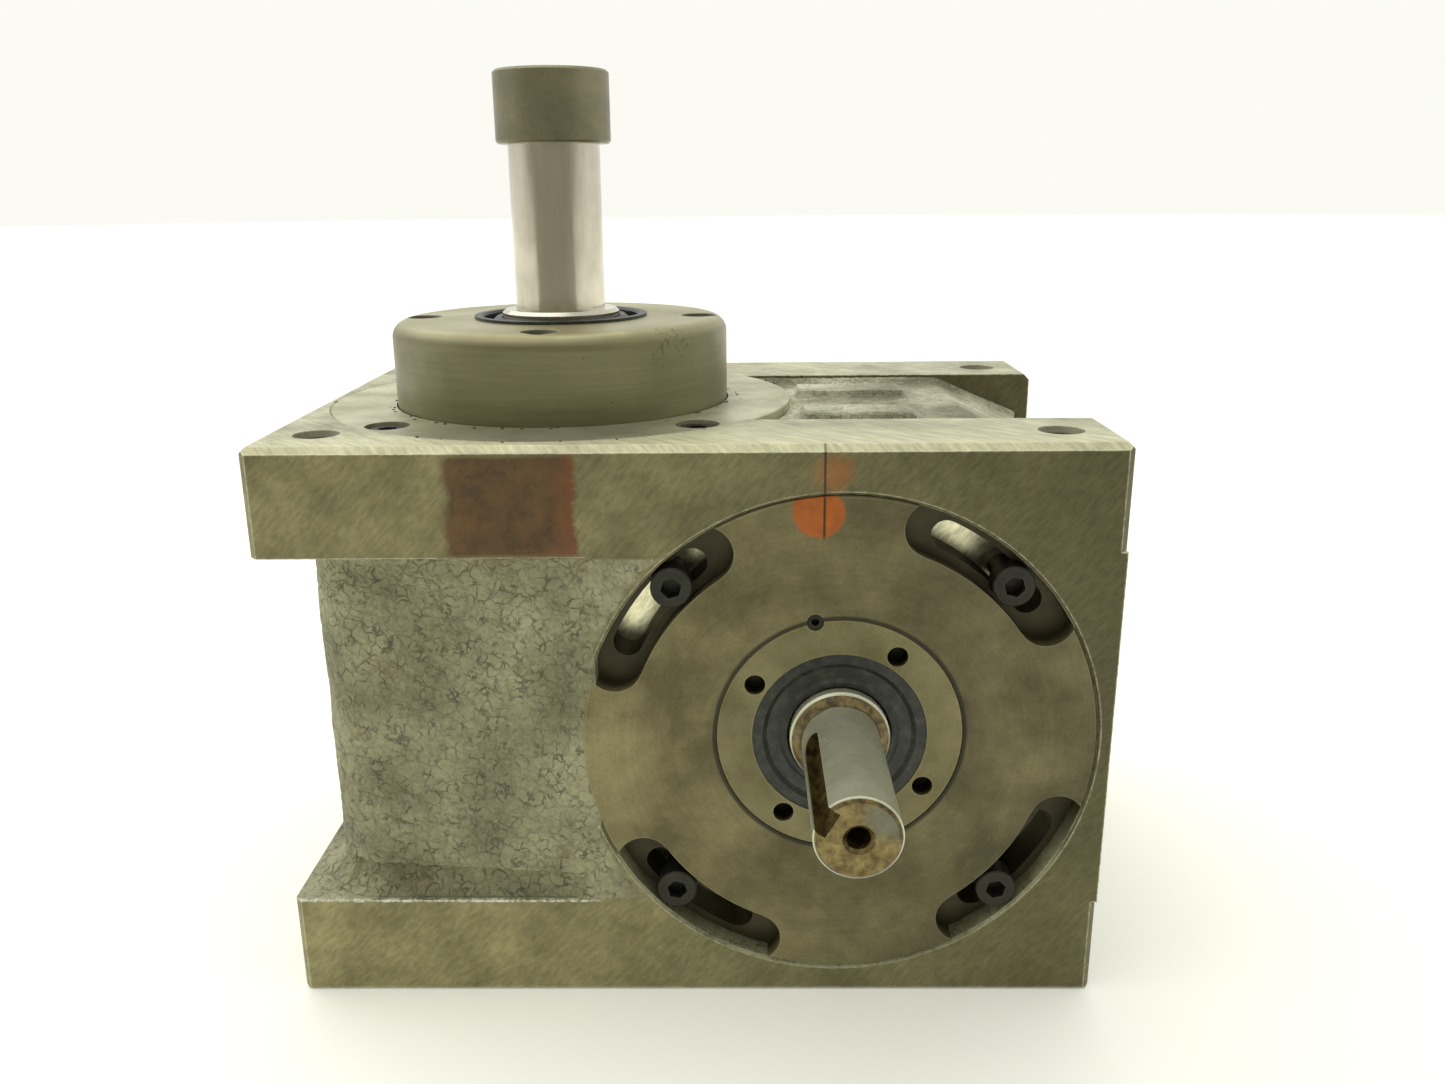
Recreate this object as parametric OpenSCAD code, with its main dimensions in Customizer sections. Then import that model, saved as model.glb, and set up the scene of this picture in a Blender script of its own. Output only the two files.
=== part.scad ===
// Right-angle rotary table: an input shaft with a globoidal cam turns an output hub
// through eight cam followers, around a fixed centre post.
// The origin is on the output axis at the base plane. +X points to the input side,
// +Y to the back and +Z up. All sizes are in millimetres.

/* [Housing] */
// Length of the housing along X
housing_length = 270; // [268:1:276]
// Depth of the housing along Y
housing_depth = 180; // [180:1:186]
// Height of the housing without the hub
housing_height = 190; // [190:1:194]
// Thickness of the base and top plates
plate_thickness = 35; // [30:1:36]
// Bevel on the machined outer edges
edge_bevel = 2.2; // [0.5:0.1:3]
// How far the cast left wall stands in from the plates
cast_inset_left = 12; // [6:1:16]
// How far the cast front and back walls stand in from the plates
cast_inset_side = 10; // [6:1:12]
// Radius of the cast wall's left corners
cast_corner_radius = 20; // [10:1:24]
// Width of each arm beside the top notch
arm_width = 41.4; // [38:0.1:44]
// Depth of the notch floor below the top face
notch_depth = 3.5; // [2:0.5:5]

/* [Axes] */
// Distance from the input axis to the output axis
centre_distance = 96; // [96:0.5:97]
// Distance from the output axis to the housing's left side
output_inset = 87; // [86:1:92]
// Height of the input axis above the base
input_height = 95; // [94:0.5:96]
// How far the flange centre lies below the input axis
flange_eccentricity = 3; // [1:0.5:3.5]

/* [Output hub] */
// Outer radius of the hub's boss
hub_radius = 60; // [58:0.5:60.5]
// Height of the boss above the top face
hub_rise = 29.6; // [26:0.1:34]
// Rounding of the boss's top edge
hub_rounding = 5.5; // [2:0.5:7]
// Pitch circle radius of the hub's tapped holes
hub_hole_circle = 50; // [46:0.5:51]
// Outer radius of the retainer disc around the hub
disc_radius = 83.1; // [82:0.1:83.4]

/* [Centre post] */
// Radius of the post above the hub
post_radius = 16; // [14:0.5:17]
// Radius of the post inside the hub
post_body_radius = 19; // [18:0.5:20]
// Height of the post's top above the base
post_top = 303; // [290:1:320]
// Outer radius of the collar on the post
collar_radius = 20; // [18:0.5:24]
// Height of the collar
collar_height = 24; // [15:1:40]

/* [Input shaft] */
// Radius of the shaft's free end
shaft_radius = 12.5; // [10:0.5:14]
// Length of the free end in front of the housing
shaft_reach = 64; // [50:1:90]
// Radius of the shaft under the bearings and the seal
shaft_seat_radius = 16; // [16:0.5:16]
// Width of the keyway
keyway_width = 8; // [6:1:8]

/* [Eccentric flanges] */
// Radius of the flange plate
flange_radius = 82.3; // [81:0.1:82.4]
// Angle by which the flanges are turned for cam mesh
flange_turn = 6.3; // [-8:0.1:8]
// Circle radius of the flange screws
flange_screw_circle = 75; // [75:0.5:75]
// Depth of the pockets that sink the screw heads
pocket_depth = 8; // [8:0.5:9]

/* [Cam and followers] */
// Number of cam followers on the turret
follower_count = 8; // [8:1:8]
// Radius of a cam follower
follower_radius = 11; // [10:0.5:11]
// Clearance between a follower and the cam rib
mesh_gap = 0.5; // [0.4:0.05:0.8]

/* [Hidden] */

$fn = 64;
cut = 1;                  // how far a cutter runs past the face it opens
sunk = 0.05;              // radial room around a screw shank

left_x = -output_inset;
right_x = housing_length - output_inset;
middle_x = (left_x + right_x) / 2;
half_depth = housing_depth / 2;
top_z = housing_height;
hub_top = top_z + hub_rise;

// Mounting holes, M12, in the top face and the base
corner_hole_radius = 5.1;
corner_hole_depth = 25;
corner_inset_x = 17.5;
corner_inset_y = 21;
corner_spacing_x = housing_length - 2 * corner_inset_x;
corner_spacing_y = housing_depth - 2 * corner_inset_y;
countersink_radius = 7.5;

base_hole_step = 2;       // the base holes lie this much nearer to the middle

// Right wall: recessed between the arms, with the oil plugs and the sight glass at [y, z]
wall_recess = 6;
wall_face_x = right_x - wall_recess;
notch_slope_run = 33;
notch_slope_drop = 14.5;
fill_place = [-24, 148];
drain_place = [0, 46];
glass_place = [24, 100];
plug_radius = 8;

// Screws
m8_radius = 4;
m8_head_radius = 6.5;
m8_head_height = 8;
m8_hex = 6;
m6_radius = 3;
m6_head_radius = 5;
m6_head_height = 6;
m6_hex = 5;

// Output side, from the bottom up
cover_radius = 69.8;
cover_thickness = 12;
lower_bearing_bottom = 32;
lower_bearing_top = 50;
lower_bearing_bore = 35;
lower_bearing_radius = 55;
cavity_floor = 54;
turret_bottom = 80;
turret_radius = 44;
main_bearing_bottom = 150;
main_bearing_top = 175;
main_bearing_bore = 48;
main_bearing_radius = 70;
disc_seat_radius = 83.25;
disc_screw_circle = 75.2;
disc_screw_angle = 47.6;
hub_cavity_radius = 66;
hub_bore_radius = 21.5;
post_seal_radius = 31;
post_seal_depth = 11;
post_shoulder_radius = 21;
post_shoulder_rise = 3;

// Hub bearings: ball rows at these heights
main_ball_circle = (main_bearing_bore + main_bearing_radius) / 2;
main_ball_radius = 5;
main_ball_count = 24;
main_rows = [main_bearing_bottom + 6.5, main_bearing_top - 6.5];
lower_ball_circle = (lower_bearing_bore + lower_bearing_radius) / 2;
lower_ball_radius = 4.6;
lower_ball_count = 18;
lower_rows = [(lower_bearing_bottom + lower_bearing_top) / 2];
groove_room = 0.35;

// Input side, measured outwards from the middle of the housing
flange_thickness = 22;
flange_inner = half_depth - flange_thickness;
spigot_radius = 69.9;
spigot_depth = 10;
spigot_inner = flange_inner - spigot_depth;
bearing_outer_radius = 29;
bearing_inner = 58;
bearing_outer = 75;
nut_radius = 39.5;
nut_thickness = 12;
nut_inner = half_depth - nut_thickness;
seal_radius = 28;
seal_depth = 9;
spanner_circle = 32.4;
spanner_hole_radius = 3.35;
spanner_turn = 56.7;
lock_screw_turn = 102;
lock_screw_radius = 2.7;
pocket_inner_radius = 67.5;
pocket_half_angle = 24.5;
pocket_corner = 9;
pocket_step = 0.15;
slot_half_angle = 13;
slot_width = 9.6;
roller_radius = 2.2;
roller_circle = 22.5;
roller_count = 20;
shaft_key_turn = 150;
flush_overlap = 4;        // the full-depth block reaches this far inside the flange's rim

// Cam: the rib is cut for followers that swing about the output axis
step_angle = 360 / follower_count;
cam_tip = 46;             // rib's crest, as a radius about the output axis
cam_root = 64;            // cam core, as a radius about the output axis
cam_half_length = 36;
cam_bore = 18;
rib_reach = 192;          // the rib spans this angle to both sides
rib_step = 6;
follower_inner = 46.5;
follower_outer = 62;
stud_radius = 5;

// ---- Placing ----

// Local +Z points to the front and local +Y up, centred on the input axis
module on_input_axis() {
  translate([centre_distance, 0, input_height]) rotate([90, 0, 0]) children();
}

module at_rear() {
  mirror([0, 1, 0]) children();
}

module ring(inner, outer, bottom, top) {
  translate([0, 0, bottom]) difference() {
    cylinder(r = outer, h = top - bottom);
    translate([0, 0, -cut]) cylinder(r = inner, h = top - bottom + 2 * cut);
  }
}

module bore(radius, bottom, top) {
  translate([0, 0, bottom]) cylinder(r = radius, h = top - bottom);
}

module ring_sector(inner, outer, half_angle, bottom, top) {
  rotate([0, 0, -half_angle]) rotate_extrude(angle = 2 * half_angle)
    translate([inner, bottom]) square([outer - inner, top - bottom]);
}

// Socket head cap screw: the top of its head is at z = 0 and it points down
module cap_screw(head_radius, head_height, radius, length, hex) {
  difference() {
    union() {
      translate([0, 0, -head_height]) cylinder(r = head_radius, h = head_height);
      translate([0, 0, -head_height - length]) cylinder(r = radius, h = length + cut);
    }
    translate([0, 0, -head_height * 0.6])
      cylinder(r = hex / sqrt(3), h = head_height, $fn = 6);
    bevel_ring(head_radius, 0.6);
  }
}

// Cutter that bevels the rim of a round face at z = 0
module bevel_ring(radius, size) {
  rotate_extrude() polygon([[radius - size, 0], [radius, -size],
    [radius + size, -size], [radius + size, size], [radius - size, size]]);
}

module tapped_hole(radius, depth, mouth) {
  translate([0, 0, -depth]) cylinder(r = radius, h = depth + cut);
  translate([0, 0, radius - mouth]) cylinder(r1 = radius, r2 = mouth, h = mouth - radius);
  cylinder(r = mouth, h = cut);
}

module at_corners(step = 0) {
  for (x = [-1, 1], y = [-1, 1])
    translate([middle_x + x * (corner_spacing_x / 2 - step), y * (corner_spacing_y / 2 - step), 0])
      children();
}

// Bevel cutters along the four edges of a face of a block
module edge_bevels(x_low, x_high, y_half, z, size) {
  side = size * sqrt(2);
  for (y = [-y_half, y_half]) translate([(x_low + x_high) / 2, y, z])
    rotate([45, 0, 0]) cube([x_high - x_low + 2 * cut, side, side], center = true);
  for (x = [x_low, x_high]) translate([x, 0, z])
    rotate([0, 45, 0]) cube([side, 2 * y_half + 2 * cut, side], center = true);
}

// ---- Housing ----

module plate(x_low, bottom, top) {
  size = edge_bevel;
  translate([0, 0, bottom]) linear_extrude(top - bottom) polygon([
    [x_low + size, -half_depth], [right_x - size, -half_depth],
    [right_x, -half_depth + size], [right_x, half_depth - size],
    [right_x - size, half_depth], [x_low + size, half_depth],
    [x_low, half_depth - size], [x_low, -half_depth + size]]);
}

module cast_walls() {
  wall_x = left_x + cast_inset_left;
  wall_y = half_depth - cast_inset_side;
  corner_x = wall_x + cast_corner_radius;
  corner_y = wall_y - cast_corner_radius;
  flush_x = centre_distance - flange_radius + flush_overlap;
  step_x = flush_x - cast_inset_side;
  translate([0, 0, plate_thickness - cut])
    linear_extrude(top_z - 2 * plate_thickness + 2 * cut) {
      polygon([[corner_x, -wall_y], [step_x, -wall_y], [flush_x, -half_depth],
        [flush_x + cut, -half_depth], [flush_x + cut, half_depth], [flush_x, half_depth],
        [step_x, wall_y], [corner_x, wall_y], [wall_x, corner_y], [wall_x, -corner_y]]);
      for (y = [-1, 1]) translate([corner_x, y * corner_y]) circle(r = cast_corner_radius);
      translate([flush_x, -half_depth]) square([right_x - flush_x, housing_depth]);
    }
}

// The notch between the arms: a cast floor that slopes away to the right
module notch() {
  floor_z = top_z - notch_depth;
  half_width = half_depth - arm_width;
  translate([0, half_width, 0]) rotate([90, 0, 0]) linear_extrude(2 * half_width)
    polygon([[0, floor_z], [wall_face_x - notch_slope_run, floor_z],
      [wall_face_x, floor_z - notch_slope_drop], [wall_face_x, plate_thickness],
      [right_x + cut, plate_thickness], [right_x + cut, top_z + cut], [0, top_z + cut]]);
}

module input_cavity() {
  cavity_radius = 62;
  on_input_axis() bore(cavity_radius, -spigot_inner, spigot_inner);
}

// Bore for one eccentric flange, at the front
module flange_seat() {
  seat_radius = flange_radius + 0.25;
  on_input_axis() translate([0, -flange_eccentricity, 0]) {
    bore(spigot_radius + 0.1, spigot_inner - cut, flange_inner + cut);
    bore(seat_radius, flange_inner, half_depth + cut);
    translate([0, 0, half_depth - 0.9]) cylinder(r1 = seat_radius, r2 = seat_radius + 1.9, h = 1.9);
    for (a = [45 : 90 : 315]) rotate([0, 0, a]) translate([flange_screw_circle, 0, 0])
      bore(m8_radius + sunk, flange_inner - 18, flange_inner + cut);
  }
}

module output_bores() {
  bore(cover_radius + 0.1, -cut, cover_thickness);
  bore(lower_bearing_radius, cover_thickness - cut, lower_bearing_top);
  bore(lower_bearing_radius - 5, lower_bearing_top - cut, cavity_floor + cut);
  bore(hub_cavity_radius, cavity_floor, main_bearing_bottom + cut);
  bore(main_bearing_radius, main_bearing_bottom, main_bearing_top + cut);
  bore(disc_seat_radius, main_bearing_top, top_z + cut);
  translate([0, 0, top_z]) bevel_ring_bore(disc_seat_radius, 0.5);
}

// Cutter that bevels the mouth of a bore at z = 0
module bevel_ring_bore(radius, size) {
  translate([0, 0, -size]) cylinder(r1 = radius, r2 = radius + 2 * size, h = 2 * size);
}

module plug_hole(place, radius) {
  inner_x = centre_distance + 28;
  translate([inner_x, place[0], place[1]]) rotate([0, 90, 0])
    cylinder(r = radius, h = right_x - inner_x);
}

module housing() {
  color("#8f8a74") difference() {
    union() {
      plate(left_x + 1, 0, plate_thickness);
      plate(left_x, top_z - plate_thickness, top_z);
      cast_walls();
    }
    edge_bevels(left_x, right_x, half_depth, top_z, edge_bevel);
    edge_bevels(left_x + 1, right_x, half_depth, 0, 1);
    notch();
    output_bores();
    input_cavity();
    flange_seat();
    at_rear() flange_seat();
    translate([0, 0, top_z]) at_corners()
      tapped_hole(corner_hole_radius, corner_hole_depth, countersink_radius);
    mirror([0, 0, 1]) at_corners(base_hole_step)
      tapped_hole(corner_hole_radius, corner_hole_depth, countersink_radius);
    retainer_screw_places() bore(m8_radius + sunk, main_bearing_top - 20, main_bearing_top + cut);
    cover_screw_places() bore(m6_radius + sunk, cover_thickness - cut, 28);
    plug_hole(fill_place, plug_radius + sunk);
    plug_hole(drain_place, plug_radius + sunk);
    plug_hole(glass_place, 11 + sunk);
  }
}

// ---- Retainer disc ----

module retainer_screw_places() {
  for (a = [disc_screw_angle, 180 - disc_screw_angle, 180 + disc_screw_angle, -disc_screw_angle])
    rotate([0, 0, a]) translate([disc_screw_circle, 0, 0]) children();
}

module retainer_disc() {
  color("#a7a390") difference() {
    translate([0, 0, main_bearing_top]) cylinder(r = disc_radius, h = top_z - main_bearing_top);
    bore(hub_radius + 0.5, main_bearing_top - cut, top_z + cut);
    bore(hub_radius + 5.5, main_bearing_top - cut, main_bearing_top + 6);
    retainer_screw_places() {
      bore(m8_radius + 0.5, main_bearing_top - cut, top_z);
      bore(7.3, top_z - m8_head_height - 1, top_z + cut);
    }
    translate([0, 0, top_z]) bevel_ring(disc_radius, 0.4);
  }
}

module retainer_screws() {
  color("#3b3a36") retainer_screw_places() translate([0, 0, top_z - 1])
    cap_screw(m8_head_radius, m8_head_height, m8_radius, 18, m8_hex);
}

module hub_dust_seal() {
  color("#1e2124") ring(hub_radius + 0.4, hub_radius + 5.5, main_bearing_top + 0.4, main_bearing_top + 6);
}

// ---- Eccentric flanges ----

module flange_screw_places() {
  translate([0, -flange_eccentricity, 0]) for (a = [45 : 90 : 315])
    rotate([0, 0, a]) translate([flange_screw_circle, 0, 0]) children();
}

// One sunk pocket that is open at the rim, with its through slot. The end circles are a
// hair smaller than the tangent size, so that every edge of the pocket is a clean crossing
module screw_pocket() {
  floor_z = half_depth - pocket_depth;
  end_angle = pocket_half_angle - pocket_corner / flange_screw_circle * 180 / PI;
  end_circle = pocket_inner_radius + pocket_corner + pocket_step;
  end_radius = slot_width / 2 - pocket_step / 2;
  ring_sector(pocket_inner_radius, flange_radius + 5, end_angle, floor_z, half_depth + cut);
  for (s = [-1, 1]) rotate([0, 0, s * end_angle]) translate([end_circle, 0, 0])
    bore(pocket_corner, floor_z, half_depth + cut);
  ring_sector(flange_screw_circle - slot_width / 2, flange_screw_circle + slot_width / 2,
    slot_half_angle, flange_inner - cut, half_depth);
  for (s = [-1, 1]) rotate([0, 0, s * slot_half_angle]) translate([flange_screw_circle, 0, 0])
    bore(end_radius, flange_inner - cut, half_depth);
}

module lock_screw_hole() {
  rotate([0, 0, lock_screw_turn]) translate([nut_radius, 0, 0])
    bore(lock_screw_radius + sunk, half_depth - 8, half_depth + cut);
}

module flange_body() {
  on_input_axis() difference() {
    translate([0, -flange_eccentricity, 0]) difference() {
      union() {
        bore(flange_radius, flange_inner, half_depth);
        bore(spigot_radius, spigot_inner, flange_inner + cut);
      }
      for (a = [45 : 90 : 315]) rotate([0, 0, a + flange_turn]) screw_pocket();
      translate([0, 0, half_depth]) bevel_ring(flange_radius, 0.5);
      ring(spigot_radius - 2.5, spigot_radius + cut, spigot_inner + 4, spigot_inner + 7.2);
    }
    bore(bearing_outer_radius, spigot_inner - cut, half_depth);
    bore(nut_radius + 0.1, nut_inner, half_depth + cut);
    lock_screw_hole();
  }
}

module front_flange() {
  color("#6f6a55") flange_body();
}

module rear_flange() {
  color("#6f6a55") at_rear() flange_body();
}

module flange_screw_set() {
  on_input_axis() flange_screw_places() translate([0, 0, half_depth])
    cap_screw(m8_head_radius, pocket_depth, m8_radius, 30, m8_hex);
}

module flange_screws() {
  color("#34332f") {
    flange_screw_set();
    at_rear() flange_screw_set();
  }
}

module flange_o_ring() {
  on_input_axis() translate([0, -flange_eccentricity, spigot_inner + 5.6])
    rotate_extrude() translate([spigot_radius - 1.4, 0]) circle(r = 1.05);
}

module flange_o_rings() {
  color("#17181a") {
    flange_o_ring();
    at_rear() flange_o_ring();
  }
}

// ---- Bearing nuts, seal and end cap ----

module nut_body() {
  on_input_axis() difference() {
    bore(nut_radius, nut_inner, half_depth);
    bore(bearing_outer_radius - 4, nut_inner - cut, half_depth);
    bore(seal_radius, half_depth - seal_depth, half_depth + cut);
    for (a = [0 : 90 : 270]) rotate([0, 0, a + spanner_turn]) translate([spanner_circle, 0, 0])
      bore(spanner_hole_radius, half_depth - 7, half_depth + cut);
    lock_screw_hole();
    translate([0, 0, half_depth]) bevel_ring(nut_radius, 0.4);
  }
}

module front_bearing_nut() {
  color("#77725c") nut_body();
}

module rear_bearing_nut() {
  color("#77725c") at_rear() nut_body();
}

module lock_screw() {
  on_input_axis() rotate([0, 0, lock_screw_turn]) translate([nut_radius, 0, 0]) difference() {
    bore(lock_screw_radius, half_depth - 8, half_depth - 0.6);
    translate([0, 0, half_depth - 3.4]) cylinder(r = 2.5 / sqrt(3), h = 4, $fn = 6);
  }
}

module nut_lock_screws() {
  color("#2d2c29") {
    lock_screw();
    at_rear() lock_screw();
  }
}

module input_shaft_seal() {
  color("#20262b") on_input_axis() translate([0, 0, half_depth]) rotate_extrude() polygon([
    [seal_radius, -seal_depth], [seal_radius, -0.4], [24.6, -0.4], [23.2, -1.6],
    [19.4, -1.6], [18.2, -0.6], [16.9, -0.8], [16.35, -1.8], [16.35, -2.6], [17.6, -3.6],
    [18.6, -4.4], [20.2, -4.4], [20.2, -5.8], [17.6, -6.6], [16.4, -7.6], [16.4, -8.2],
    [19.6, -8.6], [22.6, -6.4], [25, -6.4], [25, -seal_depth]]);
}

module rear_end_cap() {
  color("#4a4a44") at_rear() on_input_axis() difference() {
    bore(seal_radius, half_depth - seal_depth, half_depth - 0.6);
    translate([0, 0, half_depth - 2.6]) cylinder(r = 20, h = 3);
    bore(22, half_depth - seal_depth - cut, half_depth - 5);
  }
}

// ---- Bearings ----

module shaft_bearing_outer_ring() {
  on_input_axis() ring(roller_circle + roller_radius + 0.3, bearing_outer_radius, bearing_inner,
    nut_inner);
}

module shaft_bearing_inner_ring() {
  on_input_axis() ring(shaft_seat_radius, roller_circle - roller_radius - 0.3, bearing_inner,
    bearing_outer);
}

module shaft_bearing_rollers() {
  on_input_axis() for (i = [0 : roller_count - 1])
    rotate([0, 0, i * 360 / roller_count]) translate([roller_circle, 0, 0])
      bore(roller_radius, bearing_inner + 3.2, bearing_outer - 3.2);
}

module shaft_bearing_cage() {
  on_input_axis() difference() {
    ring(roller_circle - 1, roller_circle + 1, bearing_inner + 1.4, bearing_outer - 1.4);
    for (i = [0 : roller_count - 1])
      rotate([0, 0, i * 360 / roller_count]) translate([roller_circle, 0, 0])
        bore(roller_radius + 0.1, bearing_inner + 3.1, bearing_outer - 3.1);
  }
}

module front_bearing_outer_ring() { color("silver") shaft_bearing_outer_ring(); }
module rear_bearing_outer_ring() { color("silver") at_rear() shaft_bearing_outer_ring(); }
module front_bearing_inner_ring() { color("silver") shaft_bearing_inner_ring(); }
module rear_bearing_inner_ring() { color("silver") at_rear() shaft_bearing_inner_ring(); }
module front_bearing_rollers() { color("gainsboro") shaft_bearing_rollers(); }
module rear_bearing_rollers() { color("gainsboro") at_rear() shaft_bearing_rollers(); }
module front_bearing_cage() { color("darkkhaki") shaft_bearing_cage(); }
module rear_bearing_cage() { color("darkkhaki") at_rear() shaft_bearing_cage(); }

module ball_race(inner, outer, bottom, top, circle_radius, ball_radius, rows) {
  difference() {
    ring(inner, outer, bottom, top);
    for (z = rows) translate([0, 0, z]) rotate_extrude()
      translate([circle_radius, 0]) circle(r = ball_radius + groove_room);
  }
}

module ball_set(circle_radius, ball_radius, count, rows) {
  for (z = rows, i = [0 : count - 1]) rotate([0, 0, i * 360 / count])
    translate([circle_radius, 0, z]) sphere(r = ball_radius);
}

module ball_cage(circle_radius, ball_radius, count, rows) {
  half_height = ball_radius + 0.9;
  for (z = rows) difference() {
    ring(circle_radius - 1.1, circle_radius + 1.1, z - half_height, z + half_height);
    for (i = [0 : count - 1]) rotate([0, 0, i * 360 / count])
      translate([circle_radius, 0, z]) sphere(r = ball_radius + 0.1);
  }
}

module main_bearing_outer_ring() {
  color("silver") ball_race(main_ball_circle + 3.6, main_bearing_radius, main_bearing_bottom,
    main_bearing_top, main_ball_circle, main_ball_radius, main_rows);
}

module main_bearing_inner_ring() {
  color("silver") ball_race(main_bearing_bore, main_ball_circle - 3.6, main_bearing_bottom,
    main_bearing_top, main_ball_circle, main_ball_radius, main_rows);
}

module main_bearing_balls() {
  color("gainsboro") ball_set(main_ball_circle, main_ball_radius, main_ball_count, main_rows);
}

module main_bearing_cage() {
  color("darkkhaki") ball_cage(main_ball_circle, main_ball_radius, main_ball_count, main_rows);
}

module lower_bearing_outer_ring() {
  color("silver") ball_race(lower_ball_circle + 3.2, lower_bearing_radius, lower_bearing_bottom,
    lower_bearing_top, lower_ball_circle, lower_ball_radius, lower_rows);
}

module lower_bearing_inner_ring() {
  color("silver") ball_race(lower_bearing_bore, lower_ball_circle - 3.2, lower_bearing_bottom,
    lower_bearing_top, lower_ball_circle, lower_ball_radius, lower_rows);
}

module lower_bearing_balls() {
  color("gainsboro") ball_set(lower_ball_circle, lower_ball_radius, lower_ball_count, lower_rows);
}

module lower_bearing_cage() {
  color("darkkhaki") ball_cage(lower_ball_circle, lower_ball_radius, lower_ball_count, lower_rows);
}

// ---- Bottom cover and centre post ----

module cover_screw_places() {
  for (a = [30 : 60 : 330]) rotate([0, 0, a]) translate([62, 0, 0]) children();
}

module post_screw_places() {
  for (a = [45 : 90 : 315]) rotate([0, 0, a]) translate([29, 0, 0]) children();
}

module bottom_cover() {
  color("#7d7a6c") difference() {
    union() {
      bore(cover_radius, 0, cover_thickness);
      ring(lower_bearing_radius - 7.5, lower_bearing_radius - 0.1, cover_thickness - cut,
        lower_bearing_bottom);
    }
    ring(cover_radius - 2.4, cover_radius + cut, 5, 8.2);
    cover_screw_places() {
      bore(m6_radius + 0.4, -cut, cover_thickness + cut);
      bore(m6_head_radius + 0.5, -cut, m6_head_height + 1);
    }
    post_screw_places() {
      bore(m6_radius + 0.4, -cut, cover_thickness + cut);
      bore(m6_head_radius + 0.5, -cut, m6_head_height + 1);
    }
  }
}

module cover_o_ring() {
  color("#17181a") translate([0, 0, 6.6]) rotate_extrude()
    translate([cover_radius - 1.3, 0]) circle(r = 1.05);
}

module cover_screws() {
  color("#3b3a36") cover_screw_places() translate([0, 0, 1]) mirror([0, 0, 1])
    cap_screw(m6_head_radius, m6_head_height, m6_radius, 18, m6_hex);
}

module post_screws() {
  color("#3b3a36") post_screw_places() translate([0, 0, 1]) mirror([0, 0, 1])
    cap_screw(m6_head_radius, m6_head_height, m6_radius, 11, m6_hex);
}

module centre_post() {
  shoulder_top = hub_top + post_shoulder_rise;
  color("#b9b9b6") difference() {
    rotate_extrude() polygon([[0, cover_thickness], [38, cover_thickness],
      [38, cover_thickness + 8], [post_body_radius, cover_thickness + 8],
      [post_body_radius, hub_top - 20], [post_shoulder_radius, hub_top - 18],
      [post_shoulder_radius, shoulder_top - 1.2], [post_shoulder_radius - 1.2, shoulder_top],
      [post_radius, shoulder_top], [post_radius, post_top - 1], [post_radius - 1, post_top],
      [0, post_top]]);
    post_screw_places() bore(m6_radius + sunk, cover_thickness - cut, cover_thickness + 7);
    translate([0, 0, post_top - 6]) cylinder(r1 = 0.5, r2 = 5, h = 7);
  }
}

module post_collar() {
  color("#3a3733") translate([0, 0, post_top - collar_height]) rotate_extrude() polygon([
    [post_radius, 0], [collar_radius - 0.8, 0], [collar_radius, 0.8],
    [collar_radius, collar_height - 0.8], [collar_radius - 0.8, collar_height],
    [post_radius, collar_height]]);
}

// ---- Oil plugs and sight glass on the recessed right wall ----

module on_right_wall(place) {
  translate([wall_face_x, place[0], place[1]]) rotate([0, 90, 0]) children();
}

module socket_plug(place) {
  on_right_wall(place) difference() {
    union() {
      bore(plug_radius, -14, cut);
      bore(plug_radius + 3, 0, 3.4);
    }
    translate([0, 0, -4]) cylinder(r = 8 / sqrt(3), h = 9, $fn = 6);
    translate([0, 0, 3.4]) bevel_ring(plug_radius + 3, 0.6);
  }
}

module oil_fill_plug() {
  color("#56554e") socket_plug(fill_place);
}

module oil_drain_plug() {
  color("#56554e") socket_plug(drain_place);
}

module oil_sight_glass() {
  color("#c9c08a") on_right_wall(glass_place) difference() {
    union() {
      bore(11, -12, cut);
      cylinder(r = 26 / sqrt(3), h = 4, $fn = 6);
    }
    bore(8, 1.5, 5);
  }
}

// ---- Input shaft ----

module input_shaft() {
  tip = half_depth + shaft_reach;
  land_end = half_depth + 3;
  color("#b4b4b2") on_input_axis() difference() {
    rotate_extrude() polygon([[0, -82], [shaft_seat_radius - 1, -82], [shaft_seat_radius, -81],
      [shaft_seat_radius, -bearing_inner], [cam_bore, -bearing_inner + 2],
      [cam_bore, bearing_inner - 2], [shaft_seat_radius, bearing_inner],
      [shaft_seat_radius, land_end - 1.2], [shaft_seat_radius - 1.2, land_end],
      [shaft_radius, land_end], [shaft_radius, tip - 1.4], [shaft_radius - 1.4, tip], [0, tip]]);
    rotate([0, 0, shaft_key_turn]) keyway(land_end + 11, tip);
    translate([0, 0, tip]) tapped_hole(3.4, 22, 4.5);
    rotate([0, 0, 180]) translate([cam_bore - 5, -5, -20]) cube([6, 10, 40]);
  }
}

// Keyway with one round end, open at the shaft's tip
module keyway(inner_end, tip) {
  floor_r = shaft_radius - 4.2;
  translate([floor_r, 0, inner_end + keyway_width / 2]) rotate([0, 90, 0])
    cylinder(r = keyway_width / 2, h = 5);
  translate([floor_r, -keyway_width / 2, inner_end + keyway_width / 2])
    cube([5, keyway_width, tip - inner_end]);
}

module cam_key() {
  color("#9a9a94") on_input_axis() rotate([0, 0, 180])
    translate([cam_bore - 5, -5, -20]) cube([8, 10, 40]);
}

// ---- Cam ----

// Half width of the rib, as an angle about the output axis, at radius r
function lead_slope(r) = r / follower_count / (centre_distance - r);
function rib_half(r) = step_angle / 2
  - asin((follower_radius * sqrt(1 + pow(lead_slope(r), 2)) + mesh_gap) / r);

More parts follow.
